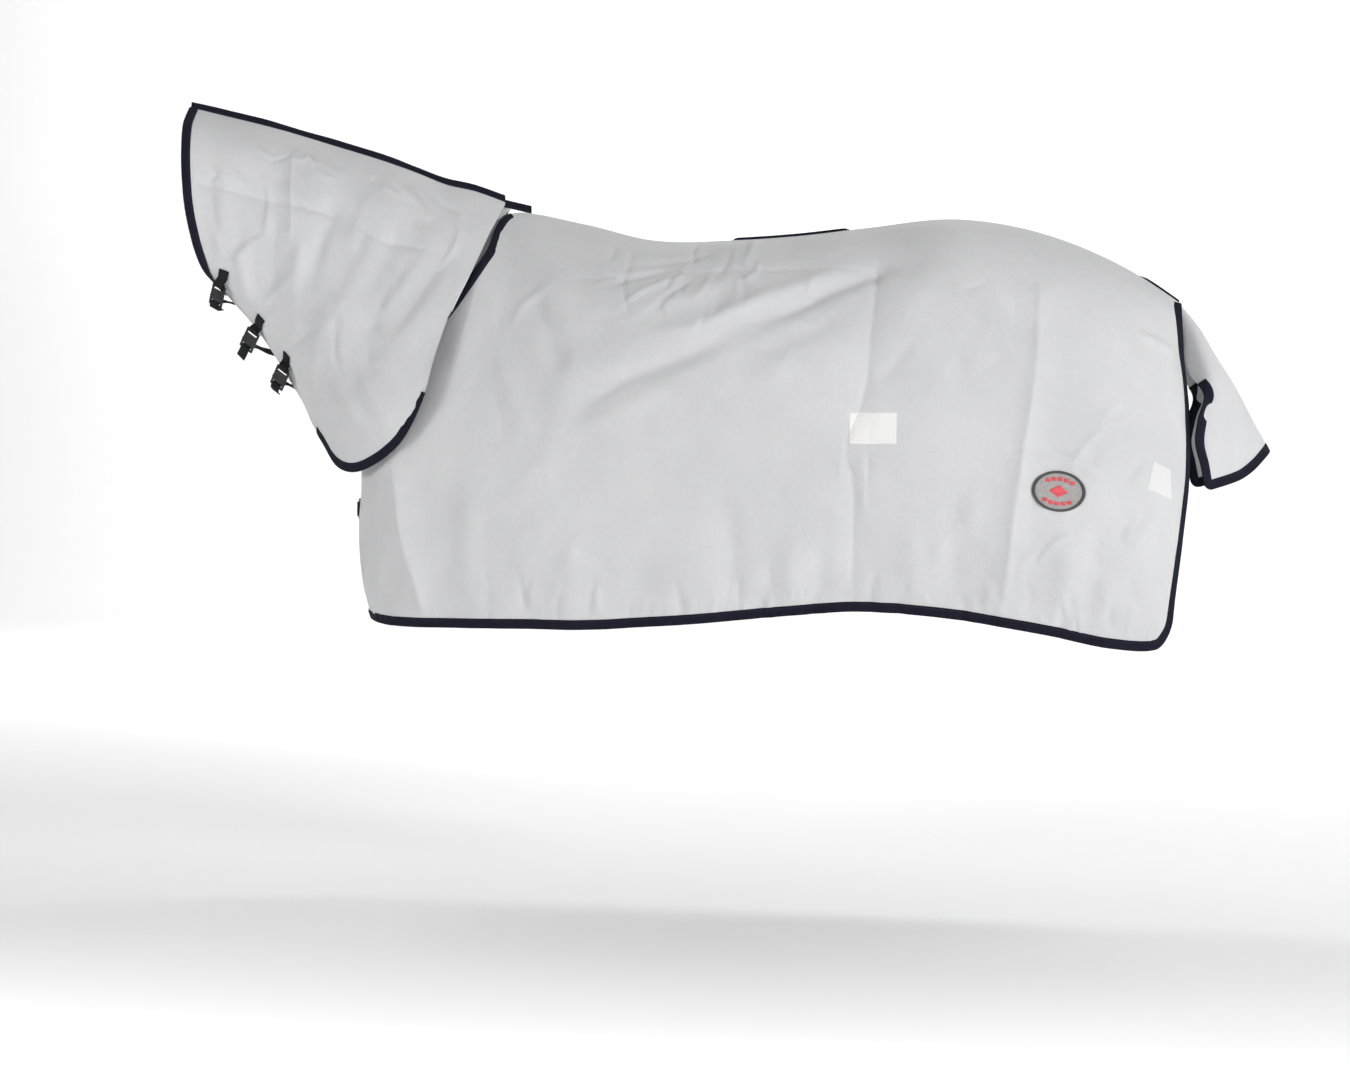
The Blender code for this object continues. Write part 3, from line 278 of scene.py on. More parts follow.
class Shader:
    """A small builder of node trees."""

    def __init__(self, name, colour, roughness, sheen=0.0, specular=0.5):
        self.material = bpy.data.materials.new(name)
        self.material.use_nodes = True
        self.tree = self.material.node_tree
        self.surface = self.tree.nodes["Principled BSDF"]
        self.surface.inputs["Base Color"].default_value = (*colour, 1)
        self.surface.inputs["Roughness"].default_value = roughness
        self.surface.inputs["Sheen Weight"].default_value = sheen
        self.surface.inputs["Sheen Roughness"].default_value = 0.6
        self.surface.inputs["Specular IOR Level"].default_value = specular
        self.material.diffuse_color = (*colour, 1)

    def node(self, kind, settings=(), **inputs):
        """Adds a node. Each input is named by its socket, or by _0 and _1, and is a link or a plain value."""
        made = self.tree.nodes.new(kind)
        for name, value in dict(settings).items():
            setattr(made, name, value)
        for name, value in inputs.items():
            socket = made.inputs[int(name[1:])] if name[1:].isdigit() else made.inputs[name.replace("_", " ")]
            if isinstance(value, bpy.types.NodeSocket):
                self.tree.links.new(value, socket)
            else:
                socket.default_value = value
        return made.outputs[0]

    def uv(self, scale=(1, 1, 1)):
        found = self.node("ShaderNodeUVMap", {"uv_map": "cloth"})
        return self.node("ShaderNodeMapping", Vector=found, Scale=scale)

    def place(self):
        found = self.tree.nodes.new("ShaderNodeTexCoord").outputs["Object"]
        return self.node("ShaderNodeMapping", Vector=found)

    def noise(self, vector, scale, detail=3.0, rough=0.55):
        return self.node("ShaderNodeTexNoise", Vector=vector, Scale=scale, Detail=detail, Roughness=rough)

    def wave(self, vector, scale, direction, distortion=0.0):
        return self.node("ShaderNodeTexWave", {"bands_direction": direction}, Vector=vector, Scale=scale,
                         Distortion=distortion, Detail=1.0, Detail_Scale=1.0)

    def math(self, operation, first, second=0.0):
        return self.node("ShaderNodeMath", {"operation": operation}, _0=first, _1=second)

    def ramp(self, value, low, high, to_low=0.0, to_high=1.0):
        return self.node("ShaderNodeMapRange", {"clamp": True}, Value=value, From_Min=low, From_Max=high,
                         To_Min=to_low, To_Max=to_high)

    def mixed(self, factor, first, second):
        made = self.tree.nodes.new("ShaderNodeMix")
        made.data_type = "RGBA"
        for socket, value in ((made.inputs[0], factor), (made.inputs[6], first), (made.inputs[7], second)):
            if isinstance(value, bpy.types.NodeSocket):
                self.tree.links.new(value, socket)
            else:
                socket.default_value = value
        return made.outputs[2]

    def bump(self, height, strength, distance, below=None):
        inputs = {"Height": height, "Strength": strength, "Distance": distance}
        if below is not None:
            inputs["Normal"] = below
        return self.node("ShaderNodeBump", **inputs)

    def finish(self, colour=None, normal=None, roughness=None):
        for name, value in (("Base Color", colour), ("Normal", normal), ("Roughness", roughness)):
            if value is not None:
                self.tree.links.new(value, self.surface.inputs[name])
        return self.material


def cotton_material(name, light, dark):
    """Slubby plain-weave cotton: fine threads, thicker slubs, and a faint unevenness of tone."""
    made = Shader(name, light, 0.92, sheen=0.25)
    uv = made.uv()
    threads = made.math("ADD", made.wave(uv, 160.0, "X"), made.wave(uv, 160.0, "Y"))
    slubs = made.noise(made.uv((60, 700, 1)), 1.0, 2.0)
    cross_slubs = made.noise(made.uv((700, 60, 1)), 1.0, 2.0)
    weave = made.math("ADD", slubs, cross_slubs)
    crumple = made.noise(uv, 26.0, 4.0, 0.6)
    normal = made.bump(crumple, 0.35, 0.004)
    normal = made.bump(weave, 0.30, 0.0012, normal)
    normal = made.bump(threads, 0.25, 0.0004, normal)
    patchy = made.ramp(made.noise(uv, 5.0, 4.0), 0.35, 0.65, 0.0, 0.5)
    tone = made.math("ADD", made.ramp(weave, 0.7, 1.3, 0.0, 0.5), patchy)
    return made.finish(made.mixed(tone, (*dark, 1), (*light, 1)), normal)


def tape_material():
    """Navy twill tape: slanting ribs, a row of stitches near each long edge, and paler threads from rubbing."""
    made = Shader("navy_tape_look", (0.006, 0.0065, 0.014), 0.85, sheen=0.01, specular=0.15)
    uv = made.uv()
    slant = made.node("ShaderNodeMapping", Vector=uv, Rotation=(0, 0, 0.9))
    twill = made.wave(slant, 230.0, "X")
    parts = made.tree.nodes.new("ShaderNodeSeparateXYZ")
    made.tree.links.new(uv, parts.inputs[0])
    along, across = parts.outputs[0], parts.outputs[1]
    steps = made.math("FRACT", made.math("MULTIPLY", along, 1 / STITCH_PITCH))
    off_row = made.math("ABSOLUTE", made.math("SUBTRACT", made.math("ABSOLUTE", across), STITCH_ROW))
    row = made.ramp(off_row, 0.0005, 0.0008, 1.0, 0.0)
    stitch = made.math("MULTIPLY", made.ramp(steps, 0.66, 0.70, 1.0, 0.0), row)
    wear = made.ramp(made.noise(uv, 90.0, 4.0), 0.45, 0.75)
    colour = made.mixed(made.math("MULTIPLY", wear, 0.5), (0.005, 0.0055, 0.013, 1), (0.011, 0.012, 0.024, 1))
    colour = made.mixed(stitch, colour, (0.020, 0.022, 0.040, 1))
    normal = made.bump(twill, 0.35, 0.0004)
    normal = made.bump(stitch, 0.6, 0.0008, normal)
    return made.finish(colour, normal)


def webbing_material():
    """Black webbing with ribs along its length and fine cross threads."""
    made = Shader("black_webbing_look", (0.007, 0.007, 0.009), 0.75, sheen=0.01, specular=0.2)
    uv = made.uv()
    ribs = made.wave(uv, 95.0, "Y")
    threads = made.wave(uv, 240.0, "X")
    wear = made.ramp(made.noise(uv, 160.0, 4.0), 0.45, 0.8)
    colour = made.mixed(wear, (0.006, 0.006, 0.008, 1), (0.016, 0.016, 0.020, 1))
    normal = made.bump(threads, 0.3, 0.0005, made.bump(ribs, 0.6, 0.0010))
    return made.finish(colour, normal)


def plastic_material():
    """Moulded black acetal with a fine grain and patchy scuffs in its roughness."""
    made = Shader("black_plastic_look", (0.007, 0.007, 0.008), 0.36)
    place = made.place()
    grain = made.noise(place, 1400.0, 2.0)
    scuff = made.ramp(made.noise(place, 120.0, 4.0), 0.4, 0.7, 0.26, 0.46)
    return made.finish(None, made.bump(grain, 0.12, 0.0003), scuff)


def thread_material(name, colour, other):
    """Satin embroidery: close parallel threads with a soft shine."""
    made = Shader(name, colour, 0.55, sheen=0.3)
    uv = made.uv()
    threads = made.wave(uv, 260.0, "X", 1.0)
    tone = made.ramp(made.noise(uv, 120.0, 3.0), 0.35, 0.7)
    return made.finish(made.mixed(tone, (*colour, 1), (*other, 1)), made.bump(threads, 0.5, 0.0005))


COTTON = cotton_material("cotton_look", (0.520, 0.520, 0.528), (0.450, 0.451, 0.460))
PATCH = cotton_material("patch_cloth_look", (0.680, 0.677, 0.668), (0.625, 0.622, 0.614))
REAR_CLOTH = cotton_material("rear_patch_look", (0.610, 0.610, 0.610), (0.550, 0.550, 0.550))
TAPE_LOOK = tape_material()
WEBBING_LOOK = webbing_material()
PLASTIC = plastic_material()
BADGE_FIELD = thread_material("badge_grey_look", (0.300, 0.290, 0.280), (0.240, 0.232, 0.225))
BADGE_RIM = thread_material("badge_rim_look", (0.012, 0.011, 0.013), (0.030, 0.028, 0.031))
BADGE_RED = thread_material("badge_red_look", (0.640, 0.045, 0.060), (0.500, 0.030, 0.045))


# ---- Meshes


def add_piece(name, mesh, look, nodes):
    """Puts a mesh in the scene as a piece that stands for CAD nodes."""
    made = bpy.data.objects.new(name, mesh)
    bpy.context.scene.collection.objects.link(made)
    mesh.materials.clear()
    mesh.materials.append(look)
    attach(made, "root")
    if nodes:
        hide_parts(*nodes)
    return made


def grid_mesh(name, grid, uv, flip=False, loop=False):
    """A smooth quad mesh over a grid [i, j], with its UV map. A loop joins its last row to its first."""
    columns, rows = grid.shape[:2]
    index = np.arange(columns * rows).reshape(columns, rows)
    if loop:
        index = np.concatenate([index, index[:, :1]], axis=1)
        uv = np.concatenate([uv, uv[:, :1]], axis=1)
    quads = np.stack([index[:-1, :-1], index[:-1, 1:], index[1:, 1:], index[1:, :-1]], axis=-1).reshape(-1, 4)
    spots = np.stack([uv[:-1, :-1], uv[:-1, 1:], uv[1:, 1:], uv[1:, :-1]], axis=-2).reshape(-1, 4, 2)
    if flip:
        quads, spots = quads[:, ::-1], spots[:, ::-1]
    mesh = bpy.data.meshes.new(name)
    mesh.from_pydata(grid.reshape(-1, 3).tolist(), [], quads.tolist())
    layer = mesh.uv_layers.new(name="cloth")
    layer.data.foreach_set("uv", np.ascontiguousarray(spots, np.float32).ravel())
    mesh.shade_smooth()
    mesh.update()
    return mesh


def arc_uv(grid):
    """A UV for each point: the arc lengths from the first column and the first row."""
    across = np.zeros(grid.shape[:2])
    across[1:] = np.cumsum(np.linalg.norm(np.diff(grid, axis=0), axis=-1), axis=0)
    down = np.zeros(grid.shape[:2])
    down[:, 1:] = np.cumsum(np.linalg.norm(np.diff(grid, axis=1), axis=-1), axis=1)
    across = np.repeat(across.mean(axis=1, keepdims=True), grid.shape[1], axis=1)
    return np.stack([across, down], axis=-1)


def unit(vectors):
    return vectors / np.linalg.norm(vectors, axis=-1, keepdims=True)


def square_to(vectors, run):
    """Unit vectors along what is left of each once its part along the run is taken away."""
    return unit(vectors - (vectors * run).sum(axis=-1, keepdims=True) * run)


def curve_through(points, knots, places):
    """A smooth curve through points at their knots, read at the places."""
    steps = np.diff(knots)[:, None]
    slopes = np.diff(points, axis=0) / steps
    tangents = np.concatenate([slopes[:1], slopes[:1], slopes[1:]])
    tangents[1:-1] = (slopes[:-1] * steps[1:] + slopes[1:] * steps[:-1]) / (steps[:-1] + steps[1:])
    tangents[-1] = slopes[-1]
    span = np.clip(np.searchsorted(knots, places, "right") - 1, 0, len(knots) - 2)
    step = steps[span]
    part = (places - knots[span])[:, None] / step
    rest = 1 - part
    return (
        (1 + 2 * part) * rest**2 * points[span]
        + part * rest**2 * step * tangents[span]
        + part**2 * (3 - 2 * part) * points[span + 1]
        - part**2 * rest * step * tangents[span + 1]
    )


def chord_knots(points):
    """The length along a line of points, at each point."""
    return np.concatenate([[0], np.cumsum(np.linalg.norm(np.diff(points, axis=0), axis=-1))])


def fine_sheet(ribs, columns, rows):
    """A fine grid [column, row, xyz] through the ribs, and the column place of each rib, from 0 to 1."""
    ribs = np.array(ribs, float)
    places = np.linspace(0, 1, rows)
    lines = []
    for rib in ribs:
        knots = chord_knots(rib)
        lines.append(curve_through(rib, knots, places * knots[-1]))
    lines = np.array(lines)
    knots = np.mean([chord_knots(lines[:, row]) for row in range(rows)], axis=0)
    spots = np.linspace(0, knots[-1], columns)
    grid = np.stack([curve_through(lines[:, row], knots, spots) for row in range(rows)], axis=1)
    return grid, knots / knots[-1]


def read_at(grid, column, row):
    """Points of a grid between its own, at places from 0 to 1."""
    column = np.clip(column, 0, 1) * (grid.shape[0] - 1)
    row = np.clip(row, 0, 1) * (grid.shape[1] - 1)
    i = np.minimum(column.astype(int), grid.shape[0] - 2)
    j = np.minimum(row.astype(int), grid.shape[1] - 2)
    u = (column - i)[..., None]
    v = (row - j)[..., None]
    left = grid[i, j] * (1 - v) + grid[i, j + 1] * v
    right = grid[i + 1, j] * (1 - v) + grid[i + 1, j + 1] * v
    return left * (1 - u) + right * u


def normals_of(grid):
    """Outward normals of a near-side grid."""
    normal = np.cross(np.gradient(grid, axis=0), np.gradient(grid, axis=1))
    return -normal / np.maximum(np.linalg.norm(normal, axis=-1, keepdims=True), 1e-9)


def distance_to(line, flat):
    """Each point's distance to a line of points, and its share of the way along it."""
    line = np.array(line, float)
    legs = np.diff(line, axis=0)
    starts = chord_knots(line)
    distance = np.full(flat.shape[:-1], np.inf)
    along = np.zeros(flat.shape[:-1])
    for start, leg, before, after in zip(line[:-1], legs, starts[:-1], starts[1:]):
        offset = flat - start
        part = np.clip(offset @ leg / (leg @ leg), 0, 1)
        away = np.linalg.norm(offset - part[..., None] * leg, axis=-1)
        nearer = away < distance
        along = np.where(nearer, (before + part * (after - before)) / starts[-1], along)
        distance = np.minimum(distance, away)
    return distance, along


def faded_ends(along, share):
    """From 0 at either end of a line up to 1, over a share of its length."""
    part = np.clip(np.minimum(along, 1 - along) / share, 0, 1)
    return part * part * (3 - 2 * part)


def smooth_line(points):
    points = np.array(points, float)
    if len(points) < 3:
        return points
    knots = chord_knots(points)
    return curve_through(points, knots, np.linspace(0, knots[-1], 4 * len(points)))


def add_folds(grid, folds=(), wrinkles=(), creases=(), crumple=0.0, seed=0.0):
    """Pushes a sheet in or out along its folds, its smaller wrinkles and its sharp creases."""
    normal = normals_of(grid)
    flat = grid[..., [0, 2]]
    shift = np.zeros(grid.shape[:2])
    for kind, lines in (("fold", folds), ("wrinkle", wrinkles), ("crease", creases)):
        for line, half_width, depth in lines:
            line = np.array(line, float) if kind == "fold" else smooth_line(line)
            reach = half_width * (6 if kind == "crease" else 3)
            near = ((flat > line.min(axis=0) - reach) & (flat < line.max(axis=0) + reach)).all(axis=-1)
            distance, along = distance_to(line, flat[near])
            if kind == "crease":
                shift[near] += depth * np.exp(-distance / half_width) * faded_ends(along, 0.10)
            else:
                fall = faded_ends(along, 0.35) if kind == "wrinkle" else 1
                shift[near] += depth * np.exp(-((distance / half_width) ** 2)) * fall
    if crumple:
        shift += crumple * crumpled(grid, seed)
    fade = np.clip(np.linspace(0, 1, grid.shape[1]) * 8, 0, 1)
    return grid + normal * (shift * fade)[..., None]


def crumpled(grid, seed):
    """A soft unevenness over the cloth, from two sizes of noise."""
    coarse = grid[::4, ::4].reshape(-1, 3)
    found = [noise.noise(Vector((x * 9 + seed, y * 9, z * 7)))
             + 0.5 * noise.noise(Vector((x * 26, y * 26 + seed, z * 16))) for x, y, z in coarse]
    found = np.array(found).reshape(grid[::4, ::4].shape[:2])[..., None]
    column, row = np.meshgrid(np.arange(grid.shape[0]) / 4, np.arange(grid.shape[1]) / 4, indexing="ij")
    return read_at(found, column / (found.shape[0] - 1), row / (found.shape[1] - 1))[..., 0]


def crinkles(seed, count, low, high, angles, lengths, half_width, depth):
    """Short crinkles strewn over a region, each with its own slant, length and depth."""
    random = np.random.default_rng(seed)
    found = []
    for _ in range(count):
        middle = random.uniform(low, high)
        angle = np.radians(random.uniform(*angles))
        half = random.uniform(*lengths) / 2
        step = np.array([np.cos(angle), np.sin(angle)]) * half
        bend = np.array([-step[1], step[0]]) * random.uniform(-0.35, 0.35)
        width = half_width * random.uniform(0.6, 1.3)
        push = depth * random.uniform(0.5, 1.2) * random.choice([-1, 1])
        found.append(([middle - step, middle + bend, middle + step], width, push))
    return found


def puckers(grid, seed, count):
    """Small puckers that run up from the stitching of the hem."""
    random = np.random.default_rng(seed)
    found = []
    for _ in range(count):
        place = random.uniform(0.03, 0.97) + random.uniform(-0.004, 0.004, 3)
        rows = np.array([1.0, 0.985, 1.0 - random.uniform(0.025, 0.075)])
        push = random.uniform(0.0005, 0.0013) * random.choice([-1, 1])
        found.append((read_at(grid, place, rows)[:, [0, 2]], 0.0045, push))
    return found


def lengths_of(grid):
    """The length of each row and of each column."""
    along = np.linalg.norm(np.diff(grid, axis=0), axis=-1).sum(axis=0)
    down = np.linalg.norm(np.diff(grid, axis=1), axis=-1).sum(axis=1)
    return along, down


def round_corner(near_edge, near_hem, radius):
    """Distances from an edge and from the hem, moved so that the corner between them is round."""
    inside = (near_edge < radius) & (near_hem < radius)
    u = np.where(inside, 1 - near_edge / radius, 0)
    v = np.where(inside, 1 - near_hem / radius, 0)
    edge = np.where(inside, radius * (1 - u * np.sqrt(1 - v**2 / 2)), near_edge)
    hem = np.where(inside, radius * (1 - v * np.sqrt(1 - u**2 / 2)), near_hem)
    return edge, hem


def cut_sheet(fine, counts, corners):
    """The sheet at even columns and rows, with its two lower corners rounded."""
    along, down = lengths_of(fine)
    column, row = np.meshgrid(*(np.linspace(0, 1, count) for count in counts), indexing="ij")
    wide = np.interp(row, np.linspace(0, 1, len(along)), along)
    tall = np.interp(column, np.linspace(0, 1, len(down)), down)
    edge, hem = round_corner(column * wide, (1 - row) * tall, corners[0])
    rear, hem = round_corner(wide - edge, hem, corners[1])
    return read_at(fine, 1 - rear / wide, 1 - hem / tall)


def mirrored(points):
    return np.asarray(points) * (1, -1, 1)


# ---- Binding tape


def resampled(lines, step):
    """Lines of points side by side, all resampled by the first one's length."""
    knots = chord_knots(lines[0])
    keep = np.concatenate([[True], np.diff(knots) > 1e-7])
    knots = knots[keep]
    places = np.linspace(0, knots[-1], max(3, int(knots[-1] / step)))
    return [np.stack([np.interp(places, knots, line[keep, k]) for k in range(3)], axis=1) for line in lines]


def ripple(along, rate, y, z):
    """A smooth waver along a line, as a column."""
    return np.array([noise.noise(Vector((s * rate, y, z))) for s in along])[:, None]


def add_tape(name, edge, inner, normal, nodes):
    """A tape folded over an edge, with soft puckers along its stitching."""
    edge, inner, normal = resampled([edge, inner, normal], 0.005)
    normal = unit(normal)
    inward = square_to(unit(inner - edge), unit(np.gradient(edge, axis=0)))
    along = chord_knots(edge)
    clear = CLOTH / 2 + TAPE * 0.7
    pucker = 0.0006 * ripple(along, 55, 3.1, 0.7)
    profile = [(TAPE_WIDTH, 0.25), (TAPE_WIDTH * 0.96, 1.0), (TAPE_WIDTH * 0.5, 1.35), (TAPE_WIDTH * 0.2, 1.45),
               (0.0, 1.25), (-0.0012, 0.7), (-0.0018, 0.0)]
    profile += [(reach, -lift) for reach, lift in profile[-2::-1]]
    rows, uv = [], []
    for reach, lift in profile:
        outward = normal * (clear * lift + np.sign(lift) * pucker * min(1, max(reach, 0) / 0.006))
        rows.append(edge + inward * reach + outward)
        uv.append(np.stack([along, np.full(len(along), np.sign(lift) * (reach + 0.0018))], axis=1))
    mesh = grid_mesh(name, np.stack(rows, axis=1), np.stack(uv, axis=1))
    return add_piece(name, mesh, TAPE_LOOK, nodes)


def add_fin(name, line, height, lean, nodes):
    """A bound seam that stands up from a line at the middle, or leans to the off side."""
    lean = np.broadcast_to(lean, len(line))
    hidden = np.clip(np.abs(np.sin(lean)) - 0.4, 0, 1)
    foot = line + np.stack([0 * lean, 0.012 * hidden, -0.003 - 0.012 * hidden], axis=1)
    rise = np.stack([0 * lean, np.sin(lean), np.cos(lean)], axis=1)
    side = np.stack([0 * lean, np.cos(lean), -np.sin(lean)], axis=1)
    profile = [(-1, 0.0), (-1, 0.5), (-1, 0.82), (-0.6, 0.97), (0, 1.0)]
    profile += [(-out, up) for out, up in profile[-2::-1]]
    along = chord_knots(line)
    wave = 0.0010 * ripple(along, 45, 9.2, 1.3)
    rows, uv = [], []
    for out, up in profile:
        rows.append(foot + rise * (up * height) + side * (FIN_HALF * out + wave * up))
        across = out * 0.004 + np.sign(out) * (1 - up) * height
        uv.append(np.stack([along, np.full(len(along), across)], axis=1))
    mesh = grid_mesh(name, np.stack(rows, axis=1), np.stack(uv, axis=1))
    return add_piece(name, mesh, TAPE_LOOK, nodes)


# ---- Straps and buckles


def panel_tree(grid):
    """A search tree of a panel, for finding places on it."""
    mesh = grid_mesh("panel", grid, arc_uv(grid))
    build = bmesh.new()
    build.from_mesh(mesh)
    tree = BVHTree.FromBMesh(build)
    build.free()
    bpy.data.meshes.remove(mesh)
    return tree


def on_panel(tree, x, z):
    """The point and the outward normal of a near-side panel at (x, z)."""
    hit, normal, _, _ = tree.ray_cast(Vector((x, -1, z)), Vector((0, 1, 0)))
    return np.array(hit), np.array(normal if normal.y < 0 else -normal)


def on_chest(tree, y, z):
    """The point of the chest at (y, z)."""
    hit, _, _, _ = tree.ray_cast(Vector((-2, y, z)), Vector((1, 0, 0)))
    return np.array(hit)


def add_webbing(name, points, across, nodes, width=WEBBING_WIDTH):
    """Flat woven webbing through the points, with its width along the direction given for each."""
    points = np.array(points, float)
    knots = chord_knots(points)
    places = np.linspace(0, knots[-1], max(12, int(knots[-1] / 0.0016)))
    middle = curve_through(points, knots, places)
    side = np.stack([np.interp(places, knots, part) for part in np.transpose(across)], axis=1)
    run = unit(np.gradient(middle, axis=0))
    side = square_to(side, run)
    out = np.cross(side, run)
    profile = [(-0.5, 0.0), (-0.49, 0.5), (-0.3, 0.56), (0, 0.6), (0.3, 0.56), (0.49, 0.5)]
    profile += [(-u, -v) for u, v in profile]
    rows = [middle + side * (u * width) + out * (v * WEBBING) for u, v in profile]
    uv = [np.stack([places, np.full(len(places), u * width)], axis=1) for u, _ in profile]
    mesh = grid_mesh(name, np.stack(rows, axis=1), np.stack(uv, axis=1), loop=True)
    build = bmesh.new()
    build.from_mesh(mesh)
    bmesh.ops.holes_fill(build, edges=[edge for edge in build.edges if edge.is_boundary], sides=0)
    build.to_mesh(mesh)
    build.free()
    return add_piece(name, mesh, WEBBING_LOOK, nodes)


def sewn_end(tree, spots, off_side, like):
    """The points of a webbing's sewn end over the cloth, and its width's direction, turned like another."""
    spots = np.linspace(spots[0], spots[1], 4)
    found = [on_panel(tree, *spot) for spot in spots]
    normal = unit(sum(item[1] for item in found))
    across = unit(np.cross(normal, found[-1][0] - found[0][0]))
    points = [point + normal * TAB_LIFT for point, _ in found]
    if off_side:
        points, across = [mirrored(point) for point in points], mirrored(across)
    return points, across * np.sign(across @ like)


def buckle_place(node, along, facing):
    """A frame whose X runs along the strap and whose Z faces outward, in the middle of a CAD buckle."""
    low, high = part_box(node)
    along = Vector(along).normalized()
    facing = Vector(facing)
    facing = (facing - along * facing.dot(along)).normalized()
    place = Matrix((along, facing.cross(along), facing)).transposed().to_4x4()
    place.translation = (low + high) / 2
    return place


def in_buckle(place, steps):
    """Points from steps (along, outward) in a buckle's own frame."""
    return [np.array(place @ Vector((along, 0, out))) for along, out in steps]


def loop_round_bar(length):
    """The way of a webbing through the slot at one end of a buckle, round the bar and back below."""
    end = length * 0.5
    bar = length * 0.41
    slot = bar - WEBBING / 2 - 0.0008
    middle = (bar + end) / 2
    return [
        (end + 0.004, STRAP_CLEAR), (middle, STRAP_CLEAR + 0.0003), (slot + 0.0006, STRAP_CLEAR - 0.0008),
        (slot - 0.0006, 0), (slot + 0.0006, -STRAP_CLEAR + 0.0008), (middle, -STRAP_CLEAR - 0.0003),
        (end + 0.003, -STRAP_CLEAR),
    ]


def add_buckle(name, place, size, nodes):
    """A closed side-release buckle: a shell, the shoulders of two arms, and a slot and a bar at each end."""
    half, wide, thick = size[0] / 2, size[1] / 2, BUCKLE / 2
    bar, slot, side = size[0] * 0.09, size[0] * 0.25, size[1] * 0.13
    blocks = []
    for sign in (-1, 1):
        ends = sorted((sign * half, sign * (half - bar)))
        blocks.append(((ends[0], -wide, -thick * 0.8), (ends[1], wide, thick * 0.8)))
        reach = sorted((sign * (half - bar * 0.5), sign * slot))
        for edge in (-1, 1):
            rail = sorted((edge * wide, edge * (wide - side)))
            blocks.append(((reach[0], rail[0], -thick * 0.8), (reach[1], rail[1], thick * 0.8)))
    blocks += [
        ((-slot, -wide * 0.98, -thick), (slot * 0.28, wide * 0.98, thick)),
        ((slot * 0.2, -wide * 0.90, -thick * 0.7), (slot * 0.62, wide * 0.90, thick * 0.7)),
        ((slot * 0.55, -wide, -thick), (slot, wide, thick)),
    ]
    for edge in (-1, 1):
        arm = sorted((edge * wide * 1.06, edge * wide * 0.74))
        blocks.append(((slot * 0.22, arm[0], -thick * 0.85), (slot * 0.60, arm[1], thick * 0.85)))
    for k in range(3):
        start = slot * (0.62 + 0.11 * k)
        blocks.append(((start, -wide * 0.7, 0), (start + slot * 0.05, wide * 0.7, thick * 1.18)))
    blocks.append(((-slot * 0.75, -wide * 0.5, 0), (slot * 0.05, wide * 0.5, thick * 1.14)))
    build = bmesh.new()
    for low, high in blocks:
        low, high = Vector(low), Vector(high)
        matrix = place @ Matrix.Translation((high + low) / 2) @ Matrix.Diagonal((*(high - low), 1))
        bmesh.ops.create_cube(build, size=1, matrix=matrix)
    mesh = bpy.data.meshes.new(name)
    build.to_mesh(mesh)
    build.free()
    made = add_piece(name, mesh, PLASTIC, nodes)
    bevel = made.modifiers.new("edges", "BEVEL")
    bevel.width = 0.0007
    bevel.segments = 2
    bevel.limit_method = "ANGLE"


def add_closure(tree, name, tab, along, facing, sewn, end):
    """A throat closure: the near side's tab, the buckle, and the strap that comes from the off side."""
    place = buckle_place(f"{name}_buckle", along, facing)
    across = np.array(place.to_3x3().col[1])
    loop = in_buckle(place, [(-step, out) for step, out in loop_round_bar(THROAT_BUCKLE[0])])
    points, turned = sewn_end(tree, tab, False, across)
    add_webbing(f"{name}_tab_web", points + loop, [turned] * 4 + [across] * 7, [f"{name}_tab"])
    add_buckle(f"{name}_buckle_set", place, THROAT_BUCKLE, [f"{name}_buckle"])
    slot, half = THROAT_BUCKLE[0] * 0.33, THROAT_BUCKLE[0] / 2
    through = in_buckle(place, [(slot - 0.0015, -0.008), (slot - 0.0005, 0), (slot + 0.0030, STRAP_CLEAR),
                                (half - 0.0015, STRAP_CLEAR + 0.0006), (half + 0.0030, STRAP_CLEAR)])
    points, turned = sewn_end(tree, sewn, True, across)
    middle = [np.array(points[-1]) * (1 - part) + through[0] * part - (0, 0, 0.004) for part in (0.35, 0.65)]
    sides = [turned] * 4 + [(turned + across) / 2] * 2 + [across] * 6
    add_webbing(f"{name}_strap_web", points + middle + through + [end], sides, [f"{name}_strap"])


def add_chest_closure(tree):
    """The wider closure at the chest, with a webbing from each side."""
    place = buckle_place("chest_buckle", (-0.50, 0.86, 0.05), (-0.86, -0.50, 0.0))
    across = [np.array(place.to_3x3().col[1])]
    loop = loop_round_bar(CHEST_BUCKLE[0])
    near = [on_chest(tree, y, CHEST_HEIGHT) - (TAB_LIFT, 0, 0) for y in (-0.110, -0.085)]
    off = [mirrored(point) for point in near] + [(-0.966, 0.040, CHEST_HEIGHT)]
    add_webbing("chest_tab_web", near + in_buckle(place, [(-step, out) for step, out in loop]), across * 9,
                ["chest_tab"], CHEST_WEBBING)
    add_buckle("chest_buckle_set", place, CHEST_BUCKLE, ["chest_buckle"])
    add_webbing("chest_strap_web", off + in_buckle(place, loop), across * 10, ["chest_strap"], CHEST_WEBBING)


# ---- Patches and badge


